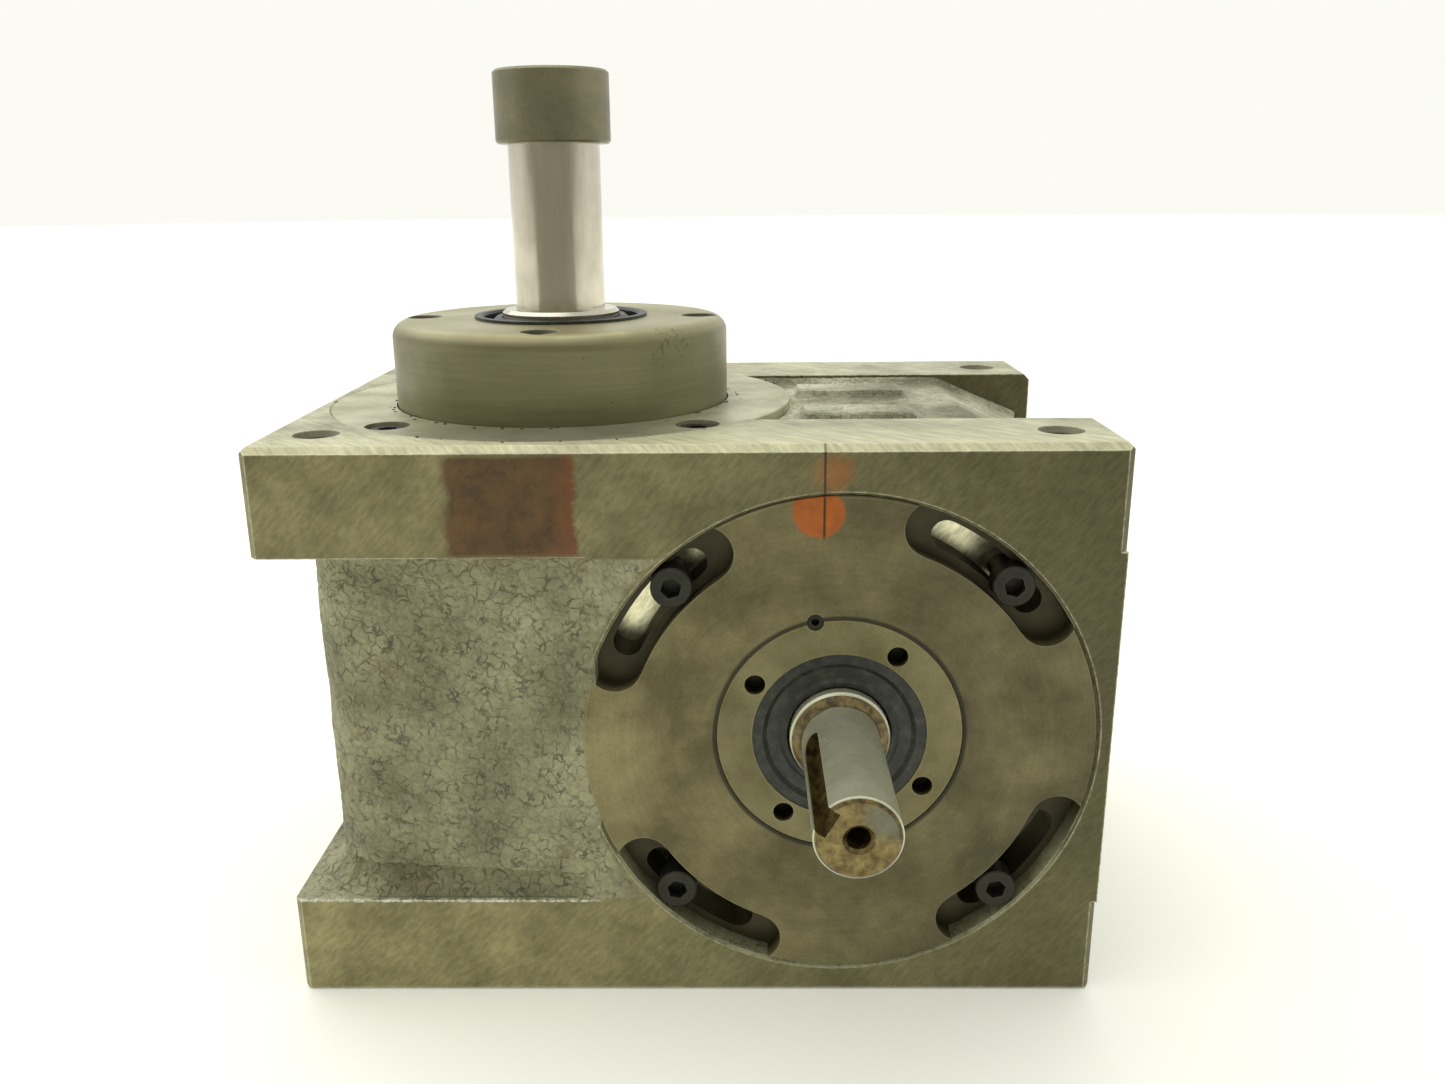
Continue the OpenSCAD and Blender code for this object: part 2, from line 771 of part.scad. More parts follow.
// Point on the rib at cam angle a, radius r about the output axis and swing s
function rib_point(a, r, s) =
  let (out = centre_distance - r * cos(s))
  [-out * cos(a), out * sin(a), -r * sin(s)];
function rib_section(a) =
  let (s = -a / follower_count, tip_half = rib_half(cam_tip), root = cam_root + 2,
    root_half = rib_half(root))
  [rib_point(a, cam_tip, s - tip_half), rib_point(a, cam_tip, s + tip_half),
    rib_point(a, root, s + root_half), rib_point(a, root, s - root_half)];

module cam_rib() {
  count = 2 * rib_reach / rib_step;
  points = [for (i = [0 : count]) each rib_section(-rib_reach + i * rib_step)];
  sides = [for (i = [0 : count - 1], j = [0 : 3])
    let (a = 4 * i + j, b = 4 * i + (j + 1) % 4) each [[a, b, a + 4], [b, b + 4, a + 4]]];
  last = 4 * count;
  ends = [[0, 2, 1], [0, 3, 2], [last, last + 1, last + 2], [last, last + 2, last + 3]];
  polyhedron(points, concat(sides, ends), convexity = 6);
}

module globoidal_cam() {
  end_radius = centre_distance - sqrt(pow(cam_root, 2) - pow(cam_half_length, 2));
  color("#8d8d88") on_input_axis() difference() {
    union() {
      rotate_extrude() difference() {
        translate([0, -cam_half_length]) square([end_radius, 2 * cam_half_length]);
        translate([centre_distance, 0]) circle(r = cam_root);
      }
      ring(cam_bore - cut, 26, -bearing_inner, bearing_inner);
      cam_rib();
    }
    bore(cam_bore, -bearing_inner + 2, bearing_inner - 2);
    for (s = [0, 1]) mirror([0, 0, s]) translate([0, 0, bearing_inner - 2 - 0.01])
      cylinder(r1 = cam_bore, r2 = shaft_seat_radius, h = 2.02);
    rotate([0, 0, 180]) translate([cam_bore - 5, -5, -bearing_inner - cut])
      cube([8, 10, 2 * bearing_inner + 2 * cut]);
  }
}

// ---- Output hub ----

module follower_places(indices) {
  for (i = indices) rotate([0, 0, (i - 0.5) * step_angle])
    translate([0, 0, input_height]) rotate([0, 90, 0]) children();
}

module hub_profile() {
  difference() {
    polygon([[hub_bore_radius, 24], [lower_bearing_bore, 24],
      [lower_bearing_bore, lower_bearing_top], [38, lower_bearing_top], [38, turret_bottom],
      [turret_radius, turret_bottom], [turret_radius, main_bearing_bottom - 2],
      [main_bearing_bore + 2, main_bearing_bottom - 2], [main_bearing_bore + 2, main_bearing_bottom],
      [main_bearing_bore, main_bearing_bottom], [main_bearing_bore, main_bearing_top],
      [hub_radius, main_bearing_top], [hub_radius, hub_top], [hub_bore_radius, hub_top]]);
    translate([hub_radius - hub_rounding, hub_top - hub_rounding]) difference() {
      square(hub_rounding + cut);
      circle(r = hub_rounding);
    }
    translate([0, hub_top - post_seal_depth]) square([post_seal_radius, post_seal_depth + cut]);
  }
}

module output_hub() {
  color("#8a8467") difference() {
    rotate_extrude() hub_profile();
    for (a = [0 : 90 : 270]) rotate([0, 0, a]) translate([hub_hole_circle, 0, hub_top])
      tapped_hole(corner_hole_radius, 20, 6.5);
    follower_places([1 : follower_count]) bore(stud_radius, 28, turret_radius + cut);
  }
}

module follower_studs() {
  color("#a0a09a") follower_places([1 : follower_count]) {
    bore(stud_radius, 28, follower_outer - 1);
    bore(7.5, follower_outer - 2, follower_outer - 0.4);
  }
}

module cam_follower(index) {
  color("#c4c4c0") follower_places([index]) difference() {
    bore(follower_radius, follower_inner, follower_outer);
    bore(stud_radius + sunk, follower_inner - cut, follower_outer + cut);
    bore(7.9, follower_outer - 2.4, follower_outer + cut);
    translate([0, 0, follower_outer]) bevel_ring(follower_radius, 0.8);
  }
}

module cam_follower_1() { cam_follower(1); }
module cam_follower_2() { cam_follower(2); }
module cam_follower_3() { cam_follower(3); }
module cam_follower_4() { cam_follower(4); }
module cam_follower_5() { cam_follower(5); }
module cam_follower_6() { cam_follower(6); }
module cam_follower_7() { cam_follower(7); }
module cam_follower_8() { cam_follower(8); }

module post_seal() {
  gap = 0.4;
  lip = post_shoulder_radius + gap;
  color("#20262b") translate([0, 0, hub_top]) rotate_extrude() polygon([
    [post_seal_radius, -post_seal_depth], [post_seal_radius, 1], [28.6, 1], [27.8, 0.2],
    [27.8, -5], [25, -6.2], [24.2, -0.4], [23, 0.6], [lip, 0.2], [lip, -1],
    [22.6, -3.4], [22.8, -7.6], [lip, -9.4], [lip, -post_seal_depth]]);
}

module hub_lock_nut() {
  color("#77756a") difference() {
    ring(lower_bearing_bore, 45, 24, lower_bearing_bottom);
    for (a = [0 : 90 : 270]) rotate([0, 0, a]) translate([42, -3.5, 23]) cube([5, 7, 10]);
  }
}

housing();
retainer_disc();
retainer_screws();
hub_dust_seal();
front_flange();
rear_flange();
flange_screws();
flange_o_rings();
front_bearing_nut();
rear_bearing_nut();
nut_lock_screws();
input_shaft_seal();
rear_end_cap();
front_bearing_outer_ring();
rear_bearing_outer_ring();
main_bearing_outer_ring();
lower_bearing_outer_ring();
bottom_cover();
cover_screws();
cover_o_ring();
centre_post();
post_screws();
post_collar();
oil_fill_plug();
oil_drain_plug();
oil_sight_glass();
input_shaft();
globoidal_cam();
cam_key();
front_bearing_inner_ring();
rear_bearing_inner_ring();
front_bearing_cage();
front_bearing_rollers();
rear_bearing_cage();
rear_bearing_rollers();
output_hub();
follower_studs();
post_seal();
hub_lock_nut();
main_bearing_inner_ring();
lower_bearing_inner_ring();
main_bearing_cage();
main_bearing_balls();
lower_bearing_cage();
lower_bearing_balls();
cam_follower_1();
cam_follower_2();
cam_follower_3();
cam_follower_4();
cam_follower_5();
cam_follower_6();
cam_follower_7();
cam_follower_8();
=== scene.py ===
import math
import random
import bmesh
import bpy
from mathutils import Matrix, Vector, noise


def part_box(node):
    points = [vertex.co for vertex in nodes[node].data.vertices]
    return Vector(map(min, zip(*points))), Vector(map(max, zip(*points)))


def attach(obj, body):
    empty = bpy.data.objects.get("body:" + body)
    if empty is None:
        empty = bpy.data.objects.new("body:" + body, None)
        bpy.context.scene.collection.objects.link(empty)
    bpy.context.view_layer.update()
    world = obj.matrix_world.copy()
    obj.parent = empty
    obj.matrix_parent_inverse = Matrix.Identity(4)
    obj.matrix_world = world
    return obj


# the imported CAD, and the places of its pieces that the finishes refer to, in metres
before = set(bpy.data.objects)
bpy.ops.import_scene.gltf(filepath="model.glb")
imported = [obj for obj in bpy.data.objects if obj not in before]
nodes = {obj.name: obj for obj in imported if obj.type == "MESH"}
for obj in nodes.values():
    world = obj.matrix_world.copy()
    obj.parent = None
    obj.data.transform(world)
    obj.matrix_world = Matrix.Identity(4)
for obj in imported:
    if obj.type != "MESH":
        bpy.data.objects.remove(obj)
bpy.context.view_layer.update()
housingLow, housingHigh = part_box("housing")
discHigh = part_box("retainer_disc")[1]
flangeLow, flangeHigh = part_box("front_flange")
shaftLow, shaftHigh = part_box("input_shaft")
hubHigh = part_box("output_hub")[1]
flangeX = (flangeLow.x + flangeHigh.x) / 2
flangeZ = (flangeLow.z + flangeHigh.z) / 2
shaftX = (shaftLow.x + shaftHigh.x) / 2
shaftZ = (shaftLow.z + shaftHigh.z) / 2
nutLow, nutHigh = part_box("front_bearing_nut")
nutRadius = (nutHigh.x - nutLow.x) / 2
print("frame loaded")

# viewing camera, standing a little above the table in front of the input shaft
cameraPlan = {
    "place": (0.06373, -0.4405, 0.26329),  # metres from the output axis at the base
    "lens": 29.82, "sensor": 36,  # mm
    "pan": 0.76, "tilt": -16.42, "roll": -0.49,  # degrees
    "nearest": 0.01, "farthest": 60,  # metres
}


def makeCamera(plan):
    lensData = bpy.data.cameras.new("viewCamera")
    lensData.lens = plan["lens"]
    lensData.sensor_width = plan["sensor"]
    lensData.clip_start = plan["nearest"]
    lensData.clip_end = plan["farthest"]
    camera = bpy.data.objects.new("viewCamera", lensData)
    bpy.context.scene.collection.objects.link(camera)
    pan = Matrix.Rotation(math.radians(plan["pan"]), 4, "Z")
    tilt = Matrix.Rotation(math.radians(90 + plan["tilt"]), 4, "X")
    roll = Matrix.Rotation(math.radians(plan["roll"]), 4, "Z")
    camera.matrix_world = Matrix.Translation(plan["place"]) @ pan @ tilt @ roll
    bpy.context.scene.camera = camera


makeCamera(cameraPlan)
print("camera placed")


def linear(code):  # sRGB hex value to linear RGBA
    parts = [int(code[i:i + 2], 16) / 255 for i in (1, 3, 5)]
    return [p / 12.92 if p <= 0.04045 else ((p + 0.055) / 1.055) ** 2.4 for p in parts] + [1]


def perMetre(millimetres):  # pattern scale from the real size of one feature
    return 1000 / millimetres


def addNode(tree, kind, links=None, output=0, **settings):
    node = tree.nodes.new("ShaderNode" + kind)
    for name, value in settings.items():
        setattr(node, name, value)
    for key, value in (links or {}).items():
        if isinstance(value, bpy.types.NodeSocket):
            tree.links.new(value, node.inputs[key])
        else:
            node.inputs[key].default_value = value
    return node.outputs if output is None else node.outputs[output]


def newMaterial(name, metallic, roughness):
    material = bpy.data.materials.new(name)
    material.use_nodes = True
    tree = material.node_tree
    shader = tree.nodes["Principled BSDF"]
    shader.inputs["Metallic"].default_value = metallic
    shader.inputs["Roughness"].default_value = roughness
    return material, tree, shader


def edgeMask(tree, radius):  # 1 along sharp edges, 0 on open faces
    rounded = addNode(tree, "Bevel", {"Radius": radius}, samples=4)
    flat = addNode(tree, "NewGeometry", output="Normal")
    facing = addNode(tree, "VectorMath", {0: rounded, 1: flat}, "Value", operation="DOT_PRODUCT")
    return addNode(tree, "MapRange", {0: facing, 1: 0.995, 2: 0.86})


# A worn metal surface: soft blotches from dark to light, a grain drawn out along one
# direction, small specks and paler worn edges. The other metals start from it.
def wornMetal(name, look):
    material, tree, shader = newMaterial(name, look["metallic"], look["roughness"])
    place = addNode(tree, "TexCoord", output="Object")
    blotch = addNode(tree, "TexNoise", {"Vector": place, "Scale": perMetre(look["blotchMm"]),
                                        "Detail": 4, "Roughness": 0.6})
    blotch = addNode(tree, "MapRange", {0: blotch, 1: 0.36, 2: 0.66})
    colour = addNode(tree, "Mix", {0: blotch, 6: linear(look["dark"]), 7: linear(look["light"])},
                     2, data_type="RGBA")
    drawn = addNode(tree, "Mapping", {"Vector": place, "Scale": look["stretch"]})
    grain = addNode(tree, "TexNoise", {"Vector": drawn, "Scale": perMetre(look["grainMm"]),
                                       "Detail": 5, "Roughness": 0.7})
    grain = addNode(tree, "MapRange", {0: grain, 1: 0.3, 2: 0.7})
    lighter = addNode(tree, "Math", {0: grain, 1: look["grain"], 2: 1 - look["grain"] / 2},
                      operation="MULTIPLY_ADD")
    colour = addNode(tree, "Mix", {0: 1.0, 6: colour, 7: lighter}, 2, data_type="RGBA",
                     blend_type="MULTIPLY")
    speck = addNode(tree, "TexNoise", {"Vector": place, "Scale": perMetre(look["speckMm"]),
                                       "Detail": 3, "Roughness": 0.7})
    speck = addNode(tree, "MapRange", {0: speck, 1: look["speckFrom"], 2: look["speckFrom"] + 0.05})
    colour = addNode(tree, "Mix", {0: speck, 6: colour, 7: linear(look["speck"])}, 2,
                     data_type="RGBA")
    edge = edgeMask(tree, look["edgeMm"] / 1000)
    edge = addNode(tree, "Math", {0: edge, 1: look["edgeWear"]}, operation="MULTIPLY")
    colour = addNode(tree, "Mix", {0: edge, 6: colour, 7: linear(look["edge"])}, 2,
                     data_type="RGBA")
    rough = addNode(tree, "Math", {0: blotch, 1: -0.12, 2: look["roughness"] + 0.06},
                    operation="MULTIPLY_ADD")
    tree.links.new(rough, shader.inputs["Roughness"])
    relief = addNode(tree, "Bump", {"Height": grain, "Strength": 0.5,
                                    "Distance": look["bumpMm"] / 1000})
    tree.links.new(relief, shader.inputs["Normal"])
    tree.links.new(colour, shader.inputs["Base Color"])
    return material, tree, shader, place, colour


# plain machined metal, where nothing below says otherwise
plainLook = {"metallic": 0.6, "roughness": 0.45, "blotchMm": 25, "stretch": (1, 1, 1),
             "grainMm": 0.8, "grain": 0.25, "speckMm": 1.6, "speckFrom": 0.72,
             "speck": "#2c2a20", "edgeMm": 0.5, "edgeWear": 0.5, "edge": "#c9c6a8",
             "bumpMm": 0.02}

# Grey cast iron as it left the sand, under old thin paint: dull and lumpy, pale green-grey
# with wormy dark veins, brown dirt and a few white chips
castLook = {"light": "#a7a582", "dark": "#7c7a5c", "vein": "#45463a", "dirt": "#6b5a34",
            "deposit": "#b9b089", "chip": "#dfe0dc", "cellMm": 3.8, "veinDepth": 0.75}


def castPattern(tree, place, look):  # colour and relief height of the casting
    broad = addNode(tree, "TexNoise", {"Vector": place, "Scale": perMetre(28), "Detail": 5})
    broad = addNode(tree, "MapRange", {0: broad, 1: 0.36, 2: 0.64})
    colour = addNode(tree, "Mix", {0: broad, 6: linear(look["dark"]), 7: linear(look["light"])}, 2,
                     data_type="RGBA")
    # thin dark veins around cells a few millimetres wide, bent and broken
    bend = addNode(tree, "TexNoise", {"Vector": place, "Scale": perMetre(3.5), "Detail": 3}, 1)
    bent = addNode(tree, "VectorMath", {0: bend, 1: (0.006,) * 3, 2: place},
                   operation="MULTIPLY_ADD")
    cells = addNode(tree, "TexVoronoi", {"Vector": bent, "Scale": perMetre(look["cellMm"])},
                    "Distance", feature="DISTANCE_TO_EDGE")
    worm = addNode(tree, "MapRange", {0: cells, 1: 0.015, 2: 0.12}, interpolation_type="SMOOTHSTEP")
    gaps = addNode(tree, "TexNoise", {"Vector": place, "Scale": perMetre(5), "Detail": 4,
                                      "Roughness": 0.65})
    gaps = addNode(tree, "MapRange", {0: gaps, 1: 0.46, 2: 0.61, 3: 0.0, 4: look["veinDepth"]})
    veins = addNode(tree, "Math", {0: 1.0, 1: worm}, operation="SUBTRACT")
    veins = addNode(tree, "Math", {0: veins, 1: gaps}, operation="MULTIPLY")
    colour = addNode(tree, "Mix", {0: veins, 6: colour, 7: linear(look["vein"])}, 2,
                     data_type="RGBA")
    grit = addNode(tree, "TexNoise", {"Vector": place, "Scale": perMetre(1.4), "Detail": 4,
                                      "Roughness": 0.7})
    gritty = addNode(tree, "MapRange", {0: grit, 1: 0.3, 2: 0.7, 3: 0.8, 4: 1.2})
    colour = addNode(tree, "Mix", {0: 1.0, 6: colour, 7: gritty}, 2, data_type="RGBA",
                     blend_type="MULTIPLY")
    dirt = addNode(tree, "TexNoise", {"Vector": place, "Scale": perMetre(16), "Detail": 6,
                                      "Roughness": 0.65})
    dirt = addNode(tree, "MapRange", {0: dirt, 1: 0.56, 2: 0.7, 3: 0.0, 4: 0.5})
    colour = addNode(tree, "Mix", {0: dirt, 6: colour, 7: linear(look["dirt"])}, 2,
                     data_type="RGBA")
    chip = addNode(tree, "TexNoise", {"Vector": place, "Scale": perMetre(3.2), "Detail": 5,
                                      "Roughness": 0.75})
    deposit = addNode(tree, "MapRange", {0: chip, 1: 0.64, 2: 0.7, 3: 0.0, 4: 0.55})
    colour = addNode(tree, "Mix", {0: deposit, 6: colour, 7: linear(look["deposit"])}, 2,
                     data_type="RGBA")
    bright = addNode(tree, "MapRange", {0: chip, 1: 0.73, 2: 0.76, 3: 0.0, 4: 0.8})
    colour = addNode(tree, "Mix", {0: bright, 6: colour, 7: linear(look["chip"])}, 2,
                     data_type="RGBA")
    height = addNode(tree, "Math", {0: worm, 1: 0.55, 2: grit}, operation="MULTIPLY_ADD")
    return colour, height


def castIron(name, look):
    material, tree, shader = newMaterial(name, 0.1, 0.62)
    place = addNode(tree, "TexCoord", output="Object")
    colour, height = castPattern(tree, place, look)
    relief = addNode(tree, "Bump", {"Height": height, "Strength": 0.8, "Distance": 0.0009})
    tree.links.new(colour, shader.inputs["Base Color"])
    tree.links.new(relief, shader.inputs["Normal"])
    return material


castWallMaterial = castIron("castIronWall", castLook)
castFloorMaterial = castIron("castIronFloor", {**castLook, "light": "#d2d1b6", "dark": "#7f7d61",
                                               "vein": "#6f6c50", "chip": "#efeee4",
                                               "veinDepth": 0.4})

# Grey cast iron, milled: satin, pale on top with slanted cutter hatching, tarnished olive
# on the upright faces, with bright worn edges. Painted light and shade: paler tops, darker
# and rightward-darkening upright faces, a lighter base front, dark bores and edge highlights
housingLook = {
    "topLight": "#c3c1a3", "topDark": "#949277", "topNear": "#cdc9a5",
    "frontLight": "#8a845d", "frontDark": "#6a6543", "frontShade": "#4d482c",
    "edgeWearAndHighlight": "#fbf8dc", "rustDark": "#43301c", "rustRed": "#7c3d18", "rustOchre": "#6d4c26",
    "paint": "#b0601c", "scribe": "#2e2b20", "hatchMm": 1.5, "baseBounceGain": 1.3,
    "ledge": "#fbf6d2", "bore": "#1d1a10", "mouth": "#4a4632", "holeX": 0.1175, "holeY": 0.069,
    "holeRadius": 0.0051, "mouthRadius": 0.0074, "threadMm": 1.75,
    "boreThread": "#5d563c", "flake": "#e4e2d6", "baseTop": 0.035, "plateFoot": 0.155,
    "seatRadius": 0.0825, "castFrom": 0.0865, "castFull": 0.0885,
    "rustHeart": (-0.018, 0.0182), "rustFade": (-0.0225, 0.0205), "rustAmount": 0.88,
    "smearPlace": (0.0925, -0.09, 0.1815), "smearAmount": 0.4,
}
scribeLook = {"x": 0.0901, "halfWide": 0.00025, "fade": 0.0005}  # one line over housing and flange
holeMiddle = (housingLow + housingHigh) / 2


def scribeMask(tree, x, amount):  # the thin scribed line that marks the flange's setting
    lineX = addNode(tree, "Math", {0: x, 1: scribeLook["x"]}, operation="SUBTRACT")
    lineX = addNode(tree, "Math", {0: lineX}, operation="ABSOLUTE")
    return addNode(tree, "MapRange", {0: lineX, 1: scribeLook["fade"], 2: scribeLook["halfWide"],
                                      3: 0.0, 4: amount})


def machinedHousing(look):
    material, tree, shader = newMaterial("machinedIronHousing", 0.35, 0.5)
    place = addNode(tree, "TexCoord", output="Object")
    facing = addNode(tree, "TexCoord", output="Normal")
    x, y, z = addNode(tree, "SeparateXYZ", {0: place}, None)
    normalY, normalZ = addNode(tree, "SeparateXYZ", {0: facing}, None)[1:]
    # faces milled with a wide cutter: fine slanted hatching, drawn about five times coarser
    # than the real cutter marks so that it shows
    hatchTurn = addNode(tree, "Mapping", {"Vector": place, "Rotation": (0, 0, 0.8),
                                          "Scale": (1, 9, 3)}, vector_type="TEXTURE")
    hatch = addNode(tree, "TexNoise", {"Vector": hatchTurn, "Scale": perMetre(look["hatchMm"]),
                                       "Detail": 4, "Roughness": 0.65})
    hatchFront = addNode(tree, "Mapping", {"Vector": place, "Rotation": (0, 0.75, 0),
                                           "Scale": (1, 2, 3.2)}, vector_type="TEXTURE")
    scratches = addNode(tree, "TexNoise", {"Vector": hatchFront, "Scale": perMetre(1.5),
                                           "Detail": 5, "Roughness": 0.7})
    blotch = addNode(tree, "TexNoise", {"Vector": place, "Scale": perMetre(22), "Detail": 6,
                                        "Roughness": 0.62})
    blotch = addNode(tree, "MapRange", {0: blotch, 1: 0.36, 2: 0.64})
    # top faces: pale, painted paler than the upright faces as the light from above, and palest
    # along the near strip
    top = addNode(tree, "Mix", {0: blotch, 6: linear(look["topDark"]), 7: linear(look["topLight"])},
                  2, data_type="RGBA")
    nearness = addNode(tree, "MapRange", {0: y, 1: -0.055, 2: -0.085, 3: 0.0, 4: 0.75})
    top = addNode(tree, "Mix", {0: nearness, 6: top, 7: linear(look["topNear"])}, 2,
                  data_type="RGBA")
    hatchTone = addNode(tree, "MapRange", {0: hatch, 1: 0.3, 2: 0.7, 3: 0.72, 4: 1.25})
    top = addNode(tree, "Mix", {0: 1.0, 6: top, 7: hatchTone}, 2, data_type="RGBA",
                  blend_type="MULTIPLY")
    # upright faces: tarnished olive, painted darker than the tops as shade, and darker to the right
    # as painted shade
    front = addNode(tree, "Mix", {0: blotch, 6: linear(look["frontDark"]),
                                  7: linear(look["frontLight"])}, 2, data_type="RGBA")
    # painted shade, deepening to the right, away from the light
    rightwardShade = addNode(tree, "MapRange", {0: x, 1: -0.02, 2: 0.17, 3: 0.0, 4: 0.8})
    front = addNode(tree, "Mix", {0: rightwardShade, 6: front, 7: linear(look["frontShade"])}, 2,
                    data_type="RGBA")
    frontTone = addNode(tree, "MapRange", {0: scratches, 1: 0.34, 2: 0.66, 3: 0.78, 4: 1.25})
    front = addNode(tree, "Mix", {0: 1.0, 6: front, 7: frontTone}, 2, data_type="RGBA",
                    blend_type="MULTIPLY")
    # painted light: the base plate's front is painted lighter near the table, standing in for light
    # bounced up from it
    floorBounceLight = addNode(tree, "MapRange", {0: z, 1: 0.06, 2: 0.034, 3: 1.0, 4: look["baseBounceGain"]})
    front = addNode(tree, "Mix", {0: 1.0, 6: front, 7: floorBounceLight}, 2, data_type="RGBA",
                    blend_type="MULTIPLY")
    # lit top faces and shaded upright faces: the same iron in two painted tones
    isTop = addNode(tree, "MapRange", {0: normalZ, 1: 0.3, 2: 0.6})
    colour = addNode(tree, "Mix", {0: isTop, 6: front, 7: top}, 2, data_type="RGBA")
    # threaded bores at the four corners of the top, painted dark as the shade inside them, each
    # with a darker ring painted on its mouth
    foldX = addNode(tree, "Math", {0: x, 1: holeMiddle.x}, operation="SUBTRACT")
    foldX = addNode(tree, "Math", {0: foldX}, operation="ABSOLUTE")
    foldY = addNode(tree, "Math", {0: y}, operation="ABSOLUTE")
    folded = addNode(tree, "CombineXYZ", {0: foldX, 1: foldY})
    fromHole = addNode(tree, "VectorMath", {0: folded, 1: (look["holeX"], look["holeY"], 0)},
                       "Value", operation="DISTANCE")
    inHole = addNode(tree, "MapRange", {0: fromHole, 1: look["holeRadius"] + 0.0006,
                                        2: look["holeRadius"] + 0.0002})
    inMouth = addNode(tree, "MapRange", {0: fromHole, 1: look["mouthRadius"] + 0.0001,
                                         2: look["mouthRadius"] - 0.0003})
    onLip = addNode(tree, "Math", {0: inMouth, 1: 0.8}, operation="MULTIPLY")
    colour = addNode(tree, "Mix", {0: onLip, 6: colour, 7: linear(look["mouth"])}, 2,
                     data_type="RGBA")
    # painted highlight on the thread's crests as lighter bands, drawn about six times coarser than
    # the thread's real pitch, so that it shows
    thread = addNode(tree, "TexWave", {"Vector": place, "Scale": perMetre(look["threadMm"]) / 20,
                                       "Distortion": 0.4}, "Fac", bands_direction="Z")
    boreTone = addNode(tree, "Mix", {0: thread, 6: linear(look["bore"]),
                                     7: linear(look["boreThread"])}, 2, data_type="RGBA")
    colour = addNode(tree, "Mix", {0: inHole, 6: colour, 7: boreTone}, 2, data_type="RGBA")
    # the unmachined stretches between the plates, around the front seat
    fromSeat = addNode(tree, "CombineXYZ", {0: x, 2: z})
    fromSeat = addNode(tree, "VectorMath", {0: fromSeat, 1: (flangeX, 0, flangeZ)}, "Value",
                       operation="DISTANCE")
    wobble = addNode(tree, "TexNoise", {"Vector": place, "Scale": perMetre(7), "Detail": 4})
    wobbled = addNode(tree, "Math", {0: wobble, 1: 0.006, 2: fromSeat}, operation="MULTIPLY_ADD")
    cast = addNode(tree, "MapRange", {0: wobbled, 1: look["castFrom"], 2: look["castFull"]})
    for value, start, full in ((z, look["baseTop"] + 0.0002, look["baseTop"] + 0.0012),
                               (z, look["plateFoot"] + 0.0002, look["plateFoot"] - 0.0008),
                               (x, 0.06, 0.04)):
        part = addNode(tree, "MapRange", {0: value, 1: start, 2: full})
        cast = addNode(tree, "Math", {0: cast, 1: part}, operation="MULTIPLY")
    # the top of the base plate is as cast too
    lowTop = addNode(tree, "MapRange", {0: z, 1: 0.06, 2: 0.05})
    lowTop = addNode(tree, "Math", {0: lowTop, 1: isTop}, operation="MULTIPLY")
    cast = addNode(tree, "Math", {0: cast, 1: lowTop}, operation="MAXIMUM")
    castColour, castHeight = castPattern(tree, place, castLook)
    colour = addNode(tree, "Mix", {0: cast, 6: colour, 7: castColour}, 2, data_type="RGBA")
    # worn bright edges with chips, painted near white both as wear and as the highlight the edges
    # catch from above, except on the casting and around the holes
    edge = edgeMask(tree, 0.0008)
    chips = addNode(tree, "TexNoise", {"Vector": place, "Scale": perMetre(2.2), "Detail": 4,
                                       "Roughness": 0.7})
    chips = addNode(tree, "MapRange", {0: chips, 1: 0.4, 2: 0.6, 3: 0.25, 4: 1.0})
    wearAndHighlight = addNode(tree, "Math", {0: edge, 1: chips}, operation="MULTIPLY")
    kept = addNode(tree, "Math", {0: cast, 1: inMouth}, operation="MAXIMUM")
    kept = addNode(tree, "Math", {0: 1.0, 1: kept}, operation="SUBTRACT")
    wearAndHighlight = addNode(tree, "Math", {0: wearAndHighlight, 1: kept}, operation="MULTIPLY")
    colour = addNode(tree, "Mix", {0: wearAndHighlight, 6: colour, 7: linear(look["edgeWearAndHighlight"])}, 2,
                     data_type="RGBA")
    # chipped white line along the base plate's front edge, left of the seat
    offLine = addNode(tree, "Math", {0: z, 1: look["baseTop"]}, operation="SUBTRACT")
    offLine = addNode(tree, "Math", {0: offLine}, operation="ABSOLUTE")
    flakes = addNode(tree, "TexNoise", {"Vector": place, "Scale": perMetre(2.6), "Detail": 4,
                                        "Roughness": 0.8})
    line = addNode(tree, "MapRange", {0: flakes, 1: 0.46, 2: 0.56})
    for value, start, full in ((offLine, 0.0009, 0.0004), (y, -0.0885, -0.0893),
                               (x, 0.02, 0.012)):
        part = addNode(tree, "MapRange", {0: value, 1: start, 2: full})
        line = addNode(tree, "Math", {0: line, 1: part}, operation="MULTIPLY")
    colour = addNode(tree, "Mix", {0: line, 6: colour, 7: linear(look["flake"])}, 2,
                     data_type="RGBA")
    # bright scraped ledge under the front flange, seen through its slots
    ledge = addNode(tree, "MapRange", {0: y, 1: flangeLow.y + 0.016, 2: flangeLow.y + 0.019})
    for value, start, full in ((fromSeat, look["seatRadius"] + 0.0003, look["seatRadius"] - 0.0003),
                               (normalY, -0.7, -0.9)):
        part = addNode(tree, "MapRange", {0: value, 1: start, 2: full})
        ledge = addNode(tree, "Math", {0: ledge, 1: part}, operation="MULTIPLY")
    scraped = addNode(tree, "MapRange", {0: scratches, 1: 0.35, 2: 0.6, 3: 0.6, 4: 1.0})
    scrapedColour = addNode(tree, "Mix", {0: 1.0, 6: linear(look["ledge"]), 7: scraped}, 2,
                            data_type="RGBA", blend_type="MULTIPLY")
    colour = addNode(tree, "Mix", {0: ledge, 6: colour, 7: scrapedColour}, 2, data_type="RGBA")
